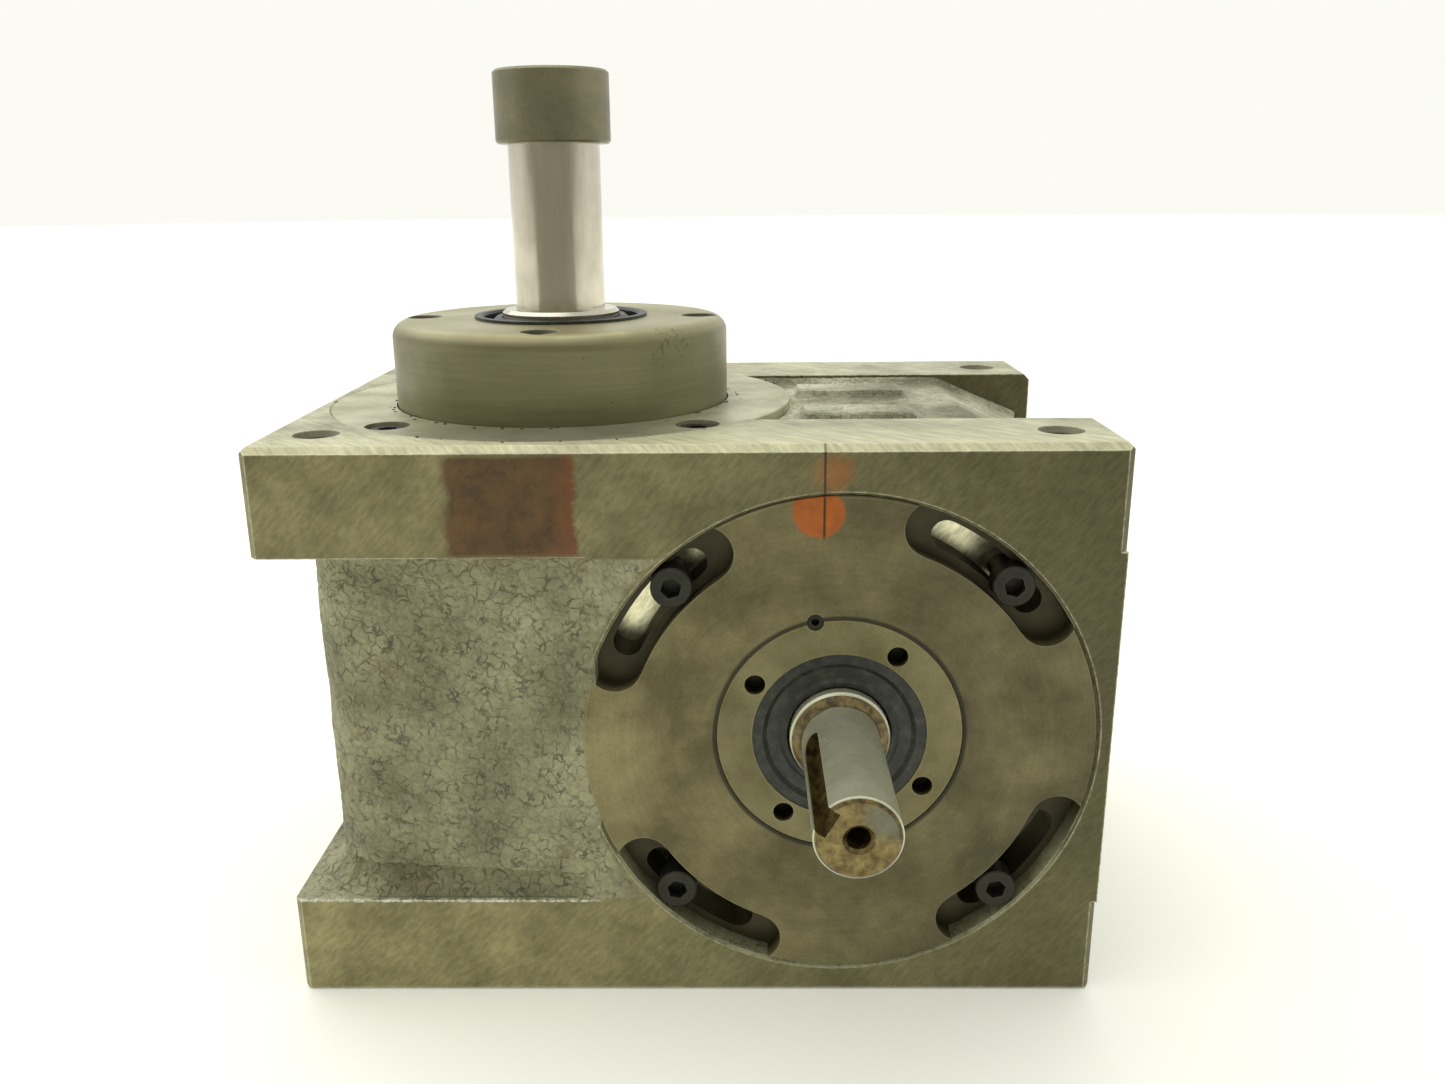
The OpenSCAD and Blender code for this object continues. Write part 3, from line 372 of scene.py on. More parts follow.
    # rust stain on the front of the top plate
    frontOnly = addNode(tree, "MapRange", {0: normalY, 1: -0.5, 2: -0.8})
    ragged = addNode(tree, "TexNoise", {"Vector": place, "Scale": perMetre(9), "Detail": 6,
                                        "Roughness": 0.7})
    rustX = addNode(tree, "Math", {0: ragged, 1: 0.010, 2: x}, operation="MULTIPLY_ADD")
    rust = addNode(tree, "Math", {0: frontOnly, 1: look["rustAmount"]}, operation="MULTIPLY")
    for fade, heart in zip(look["rustFade"], look["rustHeart"]):
        side = addNode(tree, "MapRange", {0: rustX, 1: fade, 2: heart},
                       interpolation_type="SMOOTHSTEP")
        rust = addNode(tree, "Math", {0: rust, 1: side}, operation="MULTIPLY")
    for fade, heart in ((0.1885, 0.186), (0.1545, 0.1565)):
        end = addNode(tree, "MapRange", {0: z, 1: fade, 2: heart})
        rust = addNode(tree, "Math", {0: rust, 1: end}, operation="MULTIPLY")
    rustTone = addNode(tree, "MapRange", {0: ragged, 1: 0.42, 2: 0.7})
    rustColour = addNode(tree, "Mix", {0: rustTone, 6: linear(look["rustDark"]),
                                       7: linear(look["rustOchre"])}, 2, data_type="RGBA")
    redBand = addNode(tree, "MapRange", {0: rustX, 1: 0.011, 2: 0.018, 3: 0.05, 4: 0.55})
    rustColour = addNode(tree, "Mix", {0: redBand, 6: rustColour, 7: linear(look["rustRed"])}, 2,
                         data_type="RGBA")
    colour = addNode(tree, "Mix", {0: rust, 6: colour, 7: rustColour}, 2, data_type="RGBA")
    # faint smear of marking paint and a scribed line above the seat
    smear = addNode(tree, "VectorMath", {0: place, 1: look["smearPlace"]}, "Value",
                    operation="DISTANCE")
    smear = addNode(tree, "Math", {0: ragged, 1: 0.006, 2: smear}, operation="MULTIPLY_ADD")
    smear = addNode(tree, "MapRange", {0: smear, 1: 0.0105, 2: 0.006, 3: 0.0,
                                       4: look["smearAmount"]})
    smear = addNode(tree, "Math", {0: smear, 1: frontOnly}, operation="MULTIPLY")
    colour = addNode(tree, "Mix", {0: smear, 6: colour, 7: linear(look["paint"])}, 2,
                     data_type="RGBA")
    scribe = scribeMask(tree, x, 0.85)
    high = addNode(tree, "MapRange", {0: z, 1: 0.17, 2: 0.172})
    for part in (frontOnly, high):
        scribe = addNode(tree, "Math", {0: scribe, 1: part}, operation="MULTIPLY")
    colour = addNode(tree, "Mix", {0: scribe, 6: colour, 7: linear(look["scribe"])}, 2,
                     data_type="RGBA")
    height = addNode(tree, "Mix", {0: isTop, 2: scratches, 3: hatch}, data_type="FLOAT")
    fine = addNode(tree, "Bump", {"Height": height, "Strength": 0.5, "Distance": 0.00004})
    castRelief = addNode(tree, "Math", {0: castHeight, 1: cast}, operation="MULTIPLY")
    relief = addNode(tree, "Bump", {"Height": castRelief, "Strength": 0.7, "Distance": 0.0005,
                                    "Normal": fine})
    metal = addNode(tree, "MapRange", {0: cast, 3: 0.35, 4: 0.1})
    metal = addNode(tree, "Math", {0: metal, 1: ledge}, operation="MAXIMUM")
    rough = addNode(tree, "MapRange", {0: ledge, 3: 0.5, 4: 0.3})
    tree.links.new(metal, shader.inputs["Metallic"])
    tree.links.new(rough, shader.inputs["Roughness"])
    tree.links.new(colour, shader.inputs["Base Color"])
    tree.links.new(relief, shader.inputs["Normal"])
    return material


housingMaterial = machinedHousing(housingLook)
print("housing finish made")

# Turned steel flange, left bare: flat olive-brown tarnish, faint rings, painted light and shade
# across the face, pockets painted dark as shade and mottled with rust
flangeLook = {**plainLook, "light": "#807954", "dark": "#5b5437", "blotchMm": 28, "grainMm": 1.1,
              "leftLitTone": 1.28, "rightShadeTone": 0.84, "highShadeTone": 0.86, "seamWide": 0.0016,
              "seam": "#1b1810", "pocketShade": "#16140d", "pocketRust": "#4c4329",
              "paintDark": "#7c4214", "paintLight": "#c86a1e", "paintRadius": 0.0105,
              "paintPlace": (0.0885, flangeLow.y, 0.169), "scribe": "#2a2419",
              "stretch": (1, 1, 1), "edge": "#b3ae8c", "metallic": 0.4, "roughness": 0.5}


def tarnishedFlange(name, look):
    material, tree, shader, place, colour = wornMetal(name, look)
    x, y, z = addNode(tree, "SeparateXYZ", {0: place}, None)
    facing = addNode(tree, "TexCoord", output="Normal")
    normalY = addNode(tree, "SeparateXYZ", {0: facing}, 1)
    upright = addNode(tree, "MapRange", {0: normalY, 1: -0.5, 2: -0.8})
    # faint turning rings about the flange's own axis, coarser than the real feed marks
    centred = addNode(tree, "Mapping", {"Vector": place, "Location": (-flangeX, 0, -flangeZ)})
    around = addNode(tree, "VectorMath", {0: centred, 1: (1, 0, 1)}, operation="MULTIPLY")
    radius = addNode(tree, "VectorMath", {0: around}, "Value", operation="LENGTH")
    rings = addNode(tree, "TexNoise", {"W": radius, "Scale": perMetre(1.6), "Detail": 3},
                    noise_dimensions="1D")
    ringTone = addNode(tree, "MapRange", {0: rings, 1: 0.35, 2: 0.65, 3: 0.965, 4: 1.035})
    colour = addNode(tree, "Mix", {0: 1.0, 6: colour, 7: ringTone}, 2, data_type="RGBA",
                     blend_type="MULTIPLY")
    # painted light and shade: paler on the left, darker at the top and right
    across = addNode(tree, "MapRange", {0: x, 1: flangeLow.x, 2: flangeHigh.x - 0.05,
                                        3: look["leftLitTone"], 4: look["rightShadeTone"]})
    upward = addNode(tree, "MapRange", {0: z, 1: flangeZ + 0.02, 2: flangeHigh.z, 3: 1.0,
                                        4: look["highShadeTone"]})
    shade = addNode(tree, "Math", {0: across, 1: upward}, operation="MULTIPLY")
    colour = addNode(tree, "Mix", {0: 1.0, 6: colour, 7: shade}, 2, data_type="RGBA",
                     blend_type="MULTIPLY")
    # oil sits in the seam around the bearing nut
    onFace = addNode(tree, "CombineXYZ", {0: x, 2: z})
    fromAxis = addNode(tree, "VectorMath", {0: onFace, 1: (shaftX, 0, shaftZ)}, "Value",
                       operation="DISTANCE")
    offSeam = addNode(tree, "Math", {0: fromAxis, 1: nutRadius}, operation="SUBTRACT")
    offSeam = addNode(tree, "Math", {0: offSeam}, operation="ABSOLUTE")
    seam = addNode(tree, "MapRange", {0: offSeam, 1: look["seamWide"], 2: look["seamWide"] * 0.5,
                                      3: 0.0, 4: 0.85})
    colour = addNode(tree, "Mix", {0: seam, 6: colour, 7: linear(look["seam"])}, 2,
                     data_type="RGBA")
    # pocket walls and floors painted near black as shade, mottled with rust
    offMiddle = addNode(tree, "Math", {0: y}, operation="ABSOLUTE")
    deep = addNode(tree, "MapRange", {0: offMiddle, 1: -flangeLow.y - 0.001,
                                      2: -flangeLow.y - 0.006})
    dirt = addNode(tree, "TexNoise", {"Vector": place, "Scale": perMetre(6), "Detail": 5})
    rustAndShade = addNode(tree, "Mix", {0: dirt, 6: linear(look["pocketShade"]),
                                  7: linear(look["pocketRust"])}, 2, data_type="RGBA")
    hollow = addNode(tree, "Math", {0: deep, 1: 0.85}, operation="MULTIPLY")
    colour = addNode(tree, "Mix", {0: hollow, 6: colour, 7: rustAndShade}, 2, data_type="RGBA")
    # orange marking paint and the scribed line at the top of the rim
    spot = addNode(tree, "VectorMath", {0: place, 1: look["paintPlace"]}, "Value",
                   operation="DISTANCE")
    ragged = addNode(tree, "TexNoise", {"Vector": place, "Scale": perMetre(5), "Detail": 4})
    spot = addNode(tree, "Math", {0: ragged, 1: 0.005, 2: spot}, operation="MULTIPLY_ADD")
    paint = addNode(tree, "MapRange", {0: spot, 1: look["paintRadius"] + 0.0007,
                                       2: look["paintRadius"] - 0.0007, 3: 0.0, 4: 0.92})
    paintTone = addNode(tree, "Mix", {0: ragged, 6: linear(look["paintDark"]),
                                      7: linear(look["paintLight"])}, 2, data_type="RGBA")
    colour = addNode(tree, "Mix", {0: paint, 6: colour, 7: paintTone}, 2, data_type="RGBA")
    scribe = scribeMask(tree, x, 0.9)
    high = addNode(tree, "MapRange", {0: z, 1: 0.16, 2: 0.162})
    for part in (high, upright):
        scribe = addNode(tree, "Math", {0: scribe, 1: part}, operation="MULTIPLY")
    colour = addNode(tree, "Mix", {0: scribe, 6: colour, 7: linear(look["scribe"])}, 2,
                     data_type="RGBA")
    tree.links.new(colour, shader.inputs["Base Color"])
    return material


# Hardened post steel, ground and polished: mirror-like, with faint lengthwise streaks
postLook = {**plainLook, "light": "#cfcabb", "dark": "#bbb4a5", "metallic": 1.0, "roughness": 0.16,
            "stretch": (1, 1, 0.03), "grainMm": 0.6, "grain": 0.18, "speckFrom": 0.76,
            "edge": "#efeee4"}
# Turned hub steel, lightly tarnished: satin olive with even streaks around the side; the side and
# the screw holes are darkened with painted shade
hubLook = {**plainLook, "light": "#a8a27c", "dark": "#97916c", "metallic": 0.55, "roughness": 0.4,
           "stretch": (0.04, 0.04, 1), "grainMm": 1.3, "grain": 0.2, "edge": "#b9b393",
           "edgeMm": 0.4, "blotchMm": 45, "sideShadeTone": 0.58, "holeCircle": 0.05,
           "mouthRadius": 0.0065, "holeShade": "#332f20", "pit": "#453f2a",
           "pittedPlace": (0.045, -0.044, 0.2165)}
# Surface-ground ring steel: pale and even, with painted shade darkening it near the front
discLook = {**plainLook, "light": "#c9c7a8", "dark": "#a3a183", "metallic": 0.5, "roughness": 0.42,
            "edge": "#dddbc0", "discShadeTone": 0.6}
# Turned nut steel: the flange's tarnish, a little yellower at its edges
nutLook = {**plainLook, "light": "#807a57", "dark": "#696342", "metallic": 0.5, "edge": "#c0ae7a",
           # the inside of the spanner holes: painted shade
           "inside": "#14120b"}
# Ground shaft steel: pale grey body, brown oil film in the keyway and on the end face
shaftLook = {**plainLook, "light": "#d0d1b9", "dark": "#b3b49d", "metallic": 0.58,
             "roughness": 0.28, "stretch": (0.1, 1, 0.1), "grainMm": 0.7, "grain": 0.22,
             "edge": "#efefe0", "endDark": "#5b4a26", "endLight": "#8f8052",
             "endBare": "#6a6c5e", "keyDark": "#3a3019", "keyLight": "#85713f"}
# Black oxide on alloy steel, tumbled: near black, low gloss, greyer on the rims
oxideLook = {**plainLook, "light": "#333228", "dark": "#20201a", "metallic": 0.5, "roughness": 0.48,
             "edge": "#66634f", "grain": 0.2}
# Black oxide on turned bar, rubbed thin: brown-grey satin with bright scuffs
collarLook = {**plainLook, "light": "#868168", "dark": "#6f6a54", "metallic": 0.7,
              "roughness": 0.36, "speck": "#c9c6b4", "speckFrom": 0.74, "edge": "#a59c7e"}
# Bearing steel, ground; brass cage, turned; cam steel, hardened and ground: clean and bright,
# because they run in oil
steelLook = {**plainLook, "light": "#c4c4bc", "dark": "#a9a9a0", "metallic": 1.0, "roughness": 0.25}
brassLook = {**plainLook, "light": "#c8a860", "dark": "#a88a48", "metallic": 1.0, "roughness": 0.35}
camLook = {**plainLook, "light": "#8d8c84", "dark": "#6f6e66", "metallic": 0.9, "roughness": 0.3}
# Milled cover iron, matt; zinc-plated plug steel, dulled with age
coverLook = {**plainLook, "light": "#9a9778", "dark": "#7a775a", "metallic": 0.5, "roughness": 0.5}
plugLook = {**plainLook, "light": "#a19c82", "dark": "#827d64", "metallic": 0.7, "roughness": 0.42}


def turnedHub(name, look):  # sides painted darker than the flat top as shade, screw holes painted dark as the shade inside them, pitted patch on the rim
    material, tree, shader, place, colour = wornMetal(name, look)
    facing = addNode(tree, "TexCoord", output="Normal")
    normalZ = addNode(tree, "SeparateXYZ", {0: facing}, 2)
    x, y, z = addNode(tree, "SeparateXYZ", {0: place}, None)
    foldX = addNode(tree, "Math", {0: x}, operation="ABSOLUTE")
    foldY = addNode(tree, "Math", {0: y}, operation="ABSOLUTE")
    major = addNode(tree, "Math", {0: foldX, 1: foldY}, operation="MAXIMUM")
    minor = addNode(tree, "Math", {0: foldX, 1: foldY}, operation="MINIMUM")
    folded = addNode(tree, "CombineXYZ", {0: major, 1: minor})
    fromHole = addNode(tree, "VectorMath", {0: folded, 1: (look["holeCircle"], 0, 0)}, "Value",
                       operation="DISTANCE")
    inHole = addNode(tree, "MapRange", {0: fromHole, 1: look["mouthRadius"] + 0.0001,
                                        2: look["mouthRadius"] - 0.0004})
    aboveFoot = addNode(tree, "MapRange", {0: z, 1: hubHigh.z - 0.03, 2: hubHigh.z - 0.025})
    inHole = addNode(tree, "Math", {0: inHole, 1: aboveFoot}, operation="MULTIPLY")
    # painted shade: the sides darker than the flat top
    flat = addNode(tree, "MapRange", {0: normalZ, 1: 0.3, 2: 0.9, 3: look["sideShadeTone"], 4: 1.0})
    colour = addNode(tree, "Mix", {0: 1.0, 6: colour, 7: flat}, 2, data_type="RGBA",
                     blend_type="MULTIPLY")
    near = addNode(tree, "VectorMath", {0: place, 1: look["pittedPlace"]}, "Value",
                   operation="DISTANCE")
    near = addNode(tree, "MapRange", {0: near, 1: 0.017, 2: 0.006, 3: 0.0, 4: 0.12})
    pits = addNode(tree, "TexNoise", {"Vector": place, "Scale": perMetre(1.6), "Detail": 3,
                                      "Roughness": 0.6})
    pits = addNode(tree, "Math", {0: pits, 1: near}, operation="ADD")
    pits = addNode(tree, "MapRange", {0: pits, 1: 0.7, 2: 0.76, 3: 0.0, 4: 0.6})
    # pitting, and the screw holes painted dark as the shade inside them
    for mask, tone in ((pits, look["pit"]), (inHole, look["holeShade"])):
        colour = addNode(tree, "Mix", {0: mask, 6: colour, 7: linear(tone)}, 2,
                         data_type="RGBA")
    tree.links.new(colour, shader.inputs["Base Color"])
    return material


def groundDisc(name, look):  # darker near the front, as painted shade where the hub's shadow and a dimmer reflection fall
    material, tree, shader, place, colour = wornMetal(name, look)
    y = addNode(tree, "SeparateXYZ", {0: place}, 1)
    near = addNode(tree, "MapRange", {0: y, 1: -0.045, 2: -0.07, 3: 1.0, 4: look["discShadeTone"]})
    colour = addNode(tree, "Mix", {0: 1.0, 6: colour, 7: near}, 2, data_type="RGBA",
                     blend_type="MULTIPLY")
    tree.links.new(colour, shader.inputs["Base Color"])
    return material


def tarnishedNut(name, look):  # near black inside its spanner holes, painted as the shade there
    material, tree, shader, place, colour = wornMetal(name, look)
    y = addNode(tree, "SeparateXYZ", {0: place}, 1)
    offMiddle = addNode(tree, "Math", {0: y}, operation="ABSOLUTE")
    # painted shade inside the spanner holes
    inside = addNode(tree, "MapRange", {0: offMiddle, 1: -nutLow.y - 0.0005, 2: -nutLow.y - 0.0025,
                                        3: 0.0, 4: 0.9})
    colour = addNode(tree, "Mix", {0: inside, 6: colour, 7: linear(look["inside"])}, 2,
                     data_type="RGBA")
    tree.links.new(colour, shader.inputs["Base Color"])
    return material


def groundShaft(name, look):  # bright body, brown oily keyway and end face
    material, tree, shader, place, colour = wornMetal(name, look)
    x, y, z = addNode(tree, "SeparateXYZ", {0: place}, None)
    facing = addNode(tree, "TexCoord", output="Normal")
    normalY = addNode(tree, "SeparateXYZ", {0: facing}, 1)
    across = addNode(tree, "CombineXYZ", {0: x, 2: z})
    radius = addNode(tree, "VectorMath", {0: across, 1: (shaftX, 0, shaftZ)}, "Value",
                     operation="DISTANCE")
    dirt = addNode(tree, "TexNoise", {"Vector": place, "Scale": perMetre(3.5), "Detail": 6,
                                      "Roughness": 0.7})
    keyway = addNode(tree, "MapRange", {0: radius, 1: 0.0122, 2: 0.0119})
    outer = addNode(tree, "MapRange", {0: y, 1: -0.1, 2: -0.102})
    keyway = addNode(tree, "Math", {0: keyway, 1: outer}, operation="MULTIPLY")
    keyDirt = addNode(tree, "MapRange", {0: dirt, 1: 0.4, 2: 0.65})
    oily = addNode(tree, "Mix", {0: keyDirt, 6: linear(look["keyDark"]),
                                 7: linear(look["keyLight"])}, 2, data_type="RGBA")
    colour = addNode(tree, "Mix", {0: keyway, 6: colour, 7: oily}, 2, data_type="RGBA")
    endFace = addNode(tree, "MapRange", {0: normalY, 1: -0.85, 2: -0.97})
    tip = addNode(tree, "MapRange", {0: y, 1: shaftLow.y + 0.003, 2: shaftLow.y + 0.002})
    endFace = addNode(tree, "Math", {0: endFace, 1: tip}, operation="MULTIPLY")
    golden = addNode(tree, "MapRange", {0: dirt, 1: 0.38, 2: 0.62})
    stained = addNode(tree, "Mix", {0: golden, 6: linear(look["endDark"]),
                                    7: linear(look["endLight"])}, 2, data_type="RGBA")
    bareCorner = (shaftX + 0.008, shaftLow.y, shaftZ + 0.007)
    corner = addNode(tree, "VectorMath", {0: place, 1: bareCorner}, "Value",
                     operation="DISTANCE")
    bluish = addNode(tree, "MapRange", {0: corner, 1: 0.0085, 2: 0.004, 3: 0.0, 4: 0.8})
    stained = addNode(tree, "Mix", {0: bluish, 6: stained, 7: linear(look["endBare"])}, 2,
                      data_type="RGBA")
    colour = addNode(tree, "Mix", {0: endFace, 6: colour, 7: stained}, 2, data_type="RGBA")
    tree.links.new(colour, shader.inputs["Base Color"])
    return material


flangeMaterial = tarnishedFlange("tarnishedSteelFlange", flangeLook)
postMaterial = wornMetal("polishedPostSteel", postLook)[0]
hubMaterial = turnedHub("turnedHubSteel", hubLook)
discMaterial = groundDisc("groundDiscSteel", discLook)
nutMaterial = tarnishedNut("tarnishedNutSteel", nutLook)
shaftMaterial = groundShaft("groundShaftSteel", shaftLook)
oxideMaterial = wornMetal("blackOxideScrew", oxideLook)[0]
collarMaterial = wornMetal("blackOxideCollar", collarLook)[0]
steelMaterial = wornMetal("bearingSteel", steelLook)[0]
brassMaterial = wornMetal("brassCage", brassLook)[0]
camMaterial = wornMetal("hardenedCamSteel", camLook)[0]
coverMaterial = wornMetal("machinedCoverIron", coverLook)[0]
plugMaterial = wornMetal("zincPlugSteel", plugLook)[0]

# Nitrile rubber, moulded: oily near black with a little grey dust, a soft low gloss
rubberLook = {"clean": "#1d211c", "dusty": "#3d4033", "roughness": 0.42, "dustMm": 3}


def blackRubber(name, look):
    material, tree, shader = newMaterial(name, 0.0, look["roughness"])
    place = addNode(tree, "TexCoord", output="Object")
    dust = addNode(tree, "TexNoise", {"Vector": place, "Scale": perMetre(look["dustMm"]),
                                      "Detail": 5})
    dust = addNode(tree, "MapRange", {0: dust, 1: 0.45, 2: 0.75})
    colour = addNode(tree, "Mix", {0: dust, 6: linear(look["clean"]),
                                   7: linear(look["dusty"])}, 2, data_type="RGBA")
    tree.links.new(colour, shader.inputs["Base Color"])
    return material


rubberMaterial = blackRubber("blackNitrileRubber", rubberLook)

# which finish each CAD piece gets; bearing parts that aren't named get steel, cages brass
finishes = {
    "housing": housingMaterial, "retainer_disc": discMaterial, "retainer_screws": oxideMaterial,
    "hub_dust_seal": rubberMaterial, "front_flange": flangeMaterial, "rear_flange": flangeMaterial,
    "flange_screws": oxideMaterial, "flange_o_rings": rubberMaterial,
    "front_bearing_nut": nutMaterial, "rear_bearing_nut": nutMaterial,
    "nut_lock_screws": oxideMaterial, "input_shaft_seal": rubberMaterial,
    "rear_end_cap": coverMaterial, "bottom_cover": coverMaterial, "cover_screws": oxideMaterial,
    "cover_o_ring": rubberMaterial, "centre_post": postMaterial, "post_screws": oxideMaterial,
    "post_collar": collarMaterial, "oil_fill_plug": plugMaterial, "oil_drain_plug": plugMaterial,
    "oil_sight_glass": brassMaterial, "input_shaft": shaftMaterial, "globoidal_cam": camMaterial,
    "cam_key": camMaterial, "output_hub": hubMaterial, "follower_studs": steelMaterial,
    "post_seal": rubberMaterial, "hub_lock_nut": nutMaterial,
}
for name, node in nodes.items():
    finish = finishes.get(name)
    if finish is None:
        finish = brassMaterial if "cage" in name else steelMaterial
    node.data.materials.clear()
    node.data.materials.append(finish)
print("finishes set")


def plainMaterial(name, roughness, code):  # one even colour, not a metal
    material, _, shader = newMaterial(name, 0.0, roughness)
    shader.inputs["Base Color"].default_value = linear(code)
    return material, shader


def addPiece(name, mesh, material, body):
    data = bpy.data.meshes.new(name)
    mesh.to_mesh(data)
    mesh.free()
    data.materials.append(material)
    piece = bpy.data.objects.new(name, data)
    bpy.context.scene.collection.objects.link(piece)
    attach(piece, body)
    return piece


def closeShell(mesh, inward):  # gives a sheet a back, each new corner moved by inward(corner)
    backed = bmesh.ops.extrude_face_region(mesh, geom=mesh.faces[:])
    for corner in backed["geom"]:
        if isinstance(corner, bmesh.types.BMVert):
            corner.co = inward(corner.co)
    bmesh.ops.recalc_face_normals(mesh, faces=mesh.faces[:])


# the casting's lumpy skin over the plain left half of the housing, all in metres
castWall = {
    "grid": 0.0014,  # between points
    "plateThick": 0.035, "gap": 0.0001,
    "endX": 0.0185, "endFade": 0.007,  # the wall runs into the full-depth block here
    "cornerX": -0.055, "cornerY": 0.060, "cornerRadius": 0.020,
    "coreY": 0.080,  # the CAD wall, half depth
    "startY": 0.0826, "faceY": 0.08995,  # slant of the long faces
    "leftSkin": 0.0009,  # how far the skin stands out of the left wall
    "coveHigh": 0.0095, "coveLeft": 0.0095, "leftLimit": 0.0105,
    "rimHigh": 0.005, "rimOut": 0.003,  # small flare under the top plate
    "reliefFade": 0.002, "thinnest": 0.0003, "backInset": 0.002,
    "grooveDeep": 0.0022, "grooveEnd": 0.0125, "grooveRound": 0.0045,
    "lumpMm": 12, "lumpHigh": 0.0006, "wormMm": 4.2, "wormHigh": 0.0004,
}


def castRelief(point, plan):  # broad lumps, less thin wormy valleys
    lump = noise.noise(point * perMetre(plan["lumpMm"])) * plan["lumpHigh"]
    worm = abs(noise.noise(point * perMetre(plan["wormMm"]) + Vector((7, 3, 5))))
    return lump - max(0.0, 1 - worm * 5) * plan["wormHigh"]


def makeCastWall(plan):
    low = housingLow.z + plan["plateThick"] + plan["gap"]
    high = housingHigh.z - plan["plateThick"] - plan["gap"]
    straight = plan["endX"] - plan["cornerX"]
    arc = plan["cornerRadius"] * math.pi / 2
    side = 2 * plan["cornerY"]
    whole = 2 * straight + 2 * arc + side
    columns = round(whole / plan["grid"])
    rows = round((high - low) / plan["grid"])
    mesh = bmesh.new()
    bmesh.ops.create_grid(mesh, x_segments=columns, y_segments=rows, size=1)

    def outline(along):  # point of the CAD wall, its outward direction, how far the skin stands out
        sign = -1
        if along > whole / 2:
            along = whole - along
            sign = 1
        if along < straight:
            x = plan["endX"] - along
            slant = (x - plan["cornerX"]) / straight
            out = plan["startY"] + slant * (plan["faceY"] - plan["startY"]) - plan["coreY"]
            return Vector((x, sign * plan["coreY"], 0)), Vector((0, sign, 0)), out
        if along < straight + arc:
            turn = (along - straight) / plan["cornerRadius"]
            way = Vector((-math.sin(turn), sign * math.cos(turn), 0))
            centre = Vector((plan["cornerX"], sign * plan["cornerY"], 0))
            mixed = math.cos(turn) ** 2
            out = mixed * (plan["startY"] - plan["coreY"]) + (1 - mixed) * plan["leftSkin"]
            return centre + way * plan["cornerRadius"], way, out
        x = plan["cornerX"] - plan["cornerRadius"]
        y = sign * (plan["cornerY"] - (along - straight - arc))
        return Vector((x, y, 0)), Vector((-1, 0, 0)), plan["leftSkin"]

    for corner in mesh.verts:
        along = (corner.co.x + 1) / 2 * whole
        height = low + (corner.co.y + 1) / 2 * (high - low)
        foot, way, out = outline(along)
        point = foot + Vector((0, 0, height))
        relief = castRelief(point, plan)
        rise = (height - low) / plan["coveHigh"]
        sideways = abs(way.x)
        room = (sideways * plan["coveLeft"]
                + (1 - sideways) * (plan["faceY"] - plan["coreY"] - out))
        if rise < 1:
            flare = 1 - math.sqrt(max(0.0, 1 - (1 - rise) ** 2))
            past = max(0.0, foot.x - plan["grooveEnd"] + plan["grooveRound"]) / plan["grooveRound"]
            span = 1 - min(1.0, past) ** 2
            lift = abs(rise - 0.45) / 0.5
            groove = plan["grooveDeep"] if lift < 1 and lift ** 2 < span and out > 0.002 else 0.0
            out = out + room * flare - groove
        fall = (high - height) / plan["rimHigh"]
        if fall < 1:
            flare = 1 - math.sqrt(max(0.0, 1 - (1 - fall) ** 2))
            out = out + min(room, plan["rimOut"]) * flare
        fade = min(1.0, (height - low) / plan["reliefFade"], (high - height) / plan["reliefFade"])
        fade *= max(0.0, min(1.0, (plan["endX"] - foot.x) / plan["endFade"]))
        out = out + relief * fade
        limit = plan["leftLimit"] if sideways > 0.5 else plan["faceY"] - plan["coreY"]
        corner.co = point + way * max(plan["thinnest"], min(out, limit))

    def inward(at):  # back of the shell, just inside the CAD wall
        inset = plan["backInset"]
        x = max(at.x, plan["cornerX"] - plan["cornerRadius"] + inset)
        y = max(-plan["coreY"] + inset, min(plan["coreY"] - inset, at.y))
        dx = plan["cornerX"] - x
        dy = abs(y) - plan["cornerY"]
        if dx > 0 and dy > 0:
            reach = math.hypot(dx, dy)
            scale = (plan["cornerRadius"] - inset) / reach if reach else 1
            if scale < 1:
                x = plan["cornerX"] - dx * scale
                y = math.copysign(plan["cornerY"] + dy * scale, y)
        return Vector((x, y, at.z))

    closeShell(mesh, inward)
    addPiece("castWallSkin", mesh, castWallMaterial, "housing_body")


makeCastWall(castWall)
print("cast wall made")

# the casting's skin on the notch floor behind the disc, its slope and the wall below
castFloor = {
    "grid": 0.0012,
    "halfWidth": 0.0484, "floorZ": 0.1865, "slopeX": 0.144, "slopeEndX": 0.177, "slopeEndZ": 0.172,
    "footZ": 0.0356, "discGap": 0.0011, "skin": 0.0004, "flatSpare": 0.016, "depth": 0.001,
    "coveWide": 0.0035, "coveHigh": 0.0022,  # where the floor meets the arms
    "bars": [(0.086, 0.128, 0.012, 0.032), (0.086, 0.126, -0.035, -0.014)],
    "barHigh": 0.0024, "barEdge": 0.0014,
    "dimples": [(0.099, -0.024), (0.115, -0.025)], "dimpleRadius": 0.0032, "dimpleDeep": 0.0012,
    "lumpMm": 9, "lumpHigh": 0.0003, "wormMm": 3.5, "wormHigh": 0.0002,
}


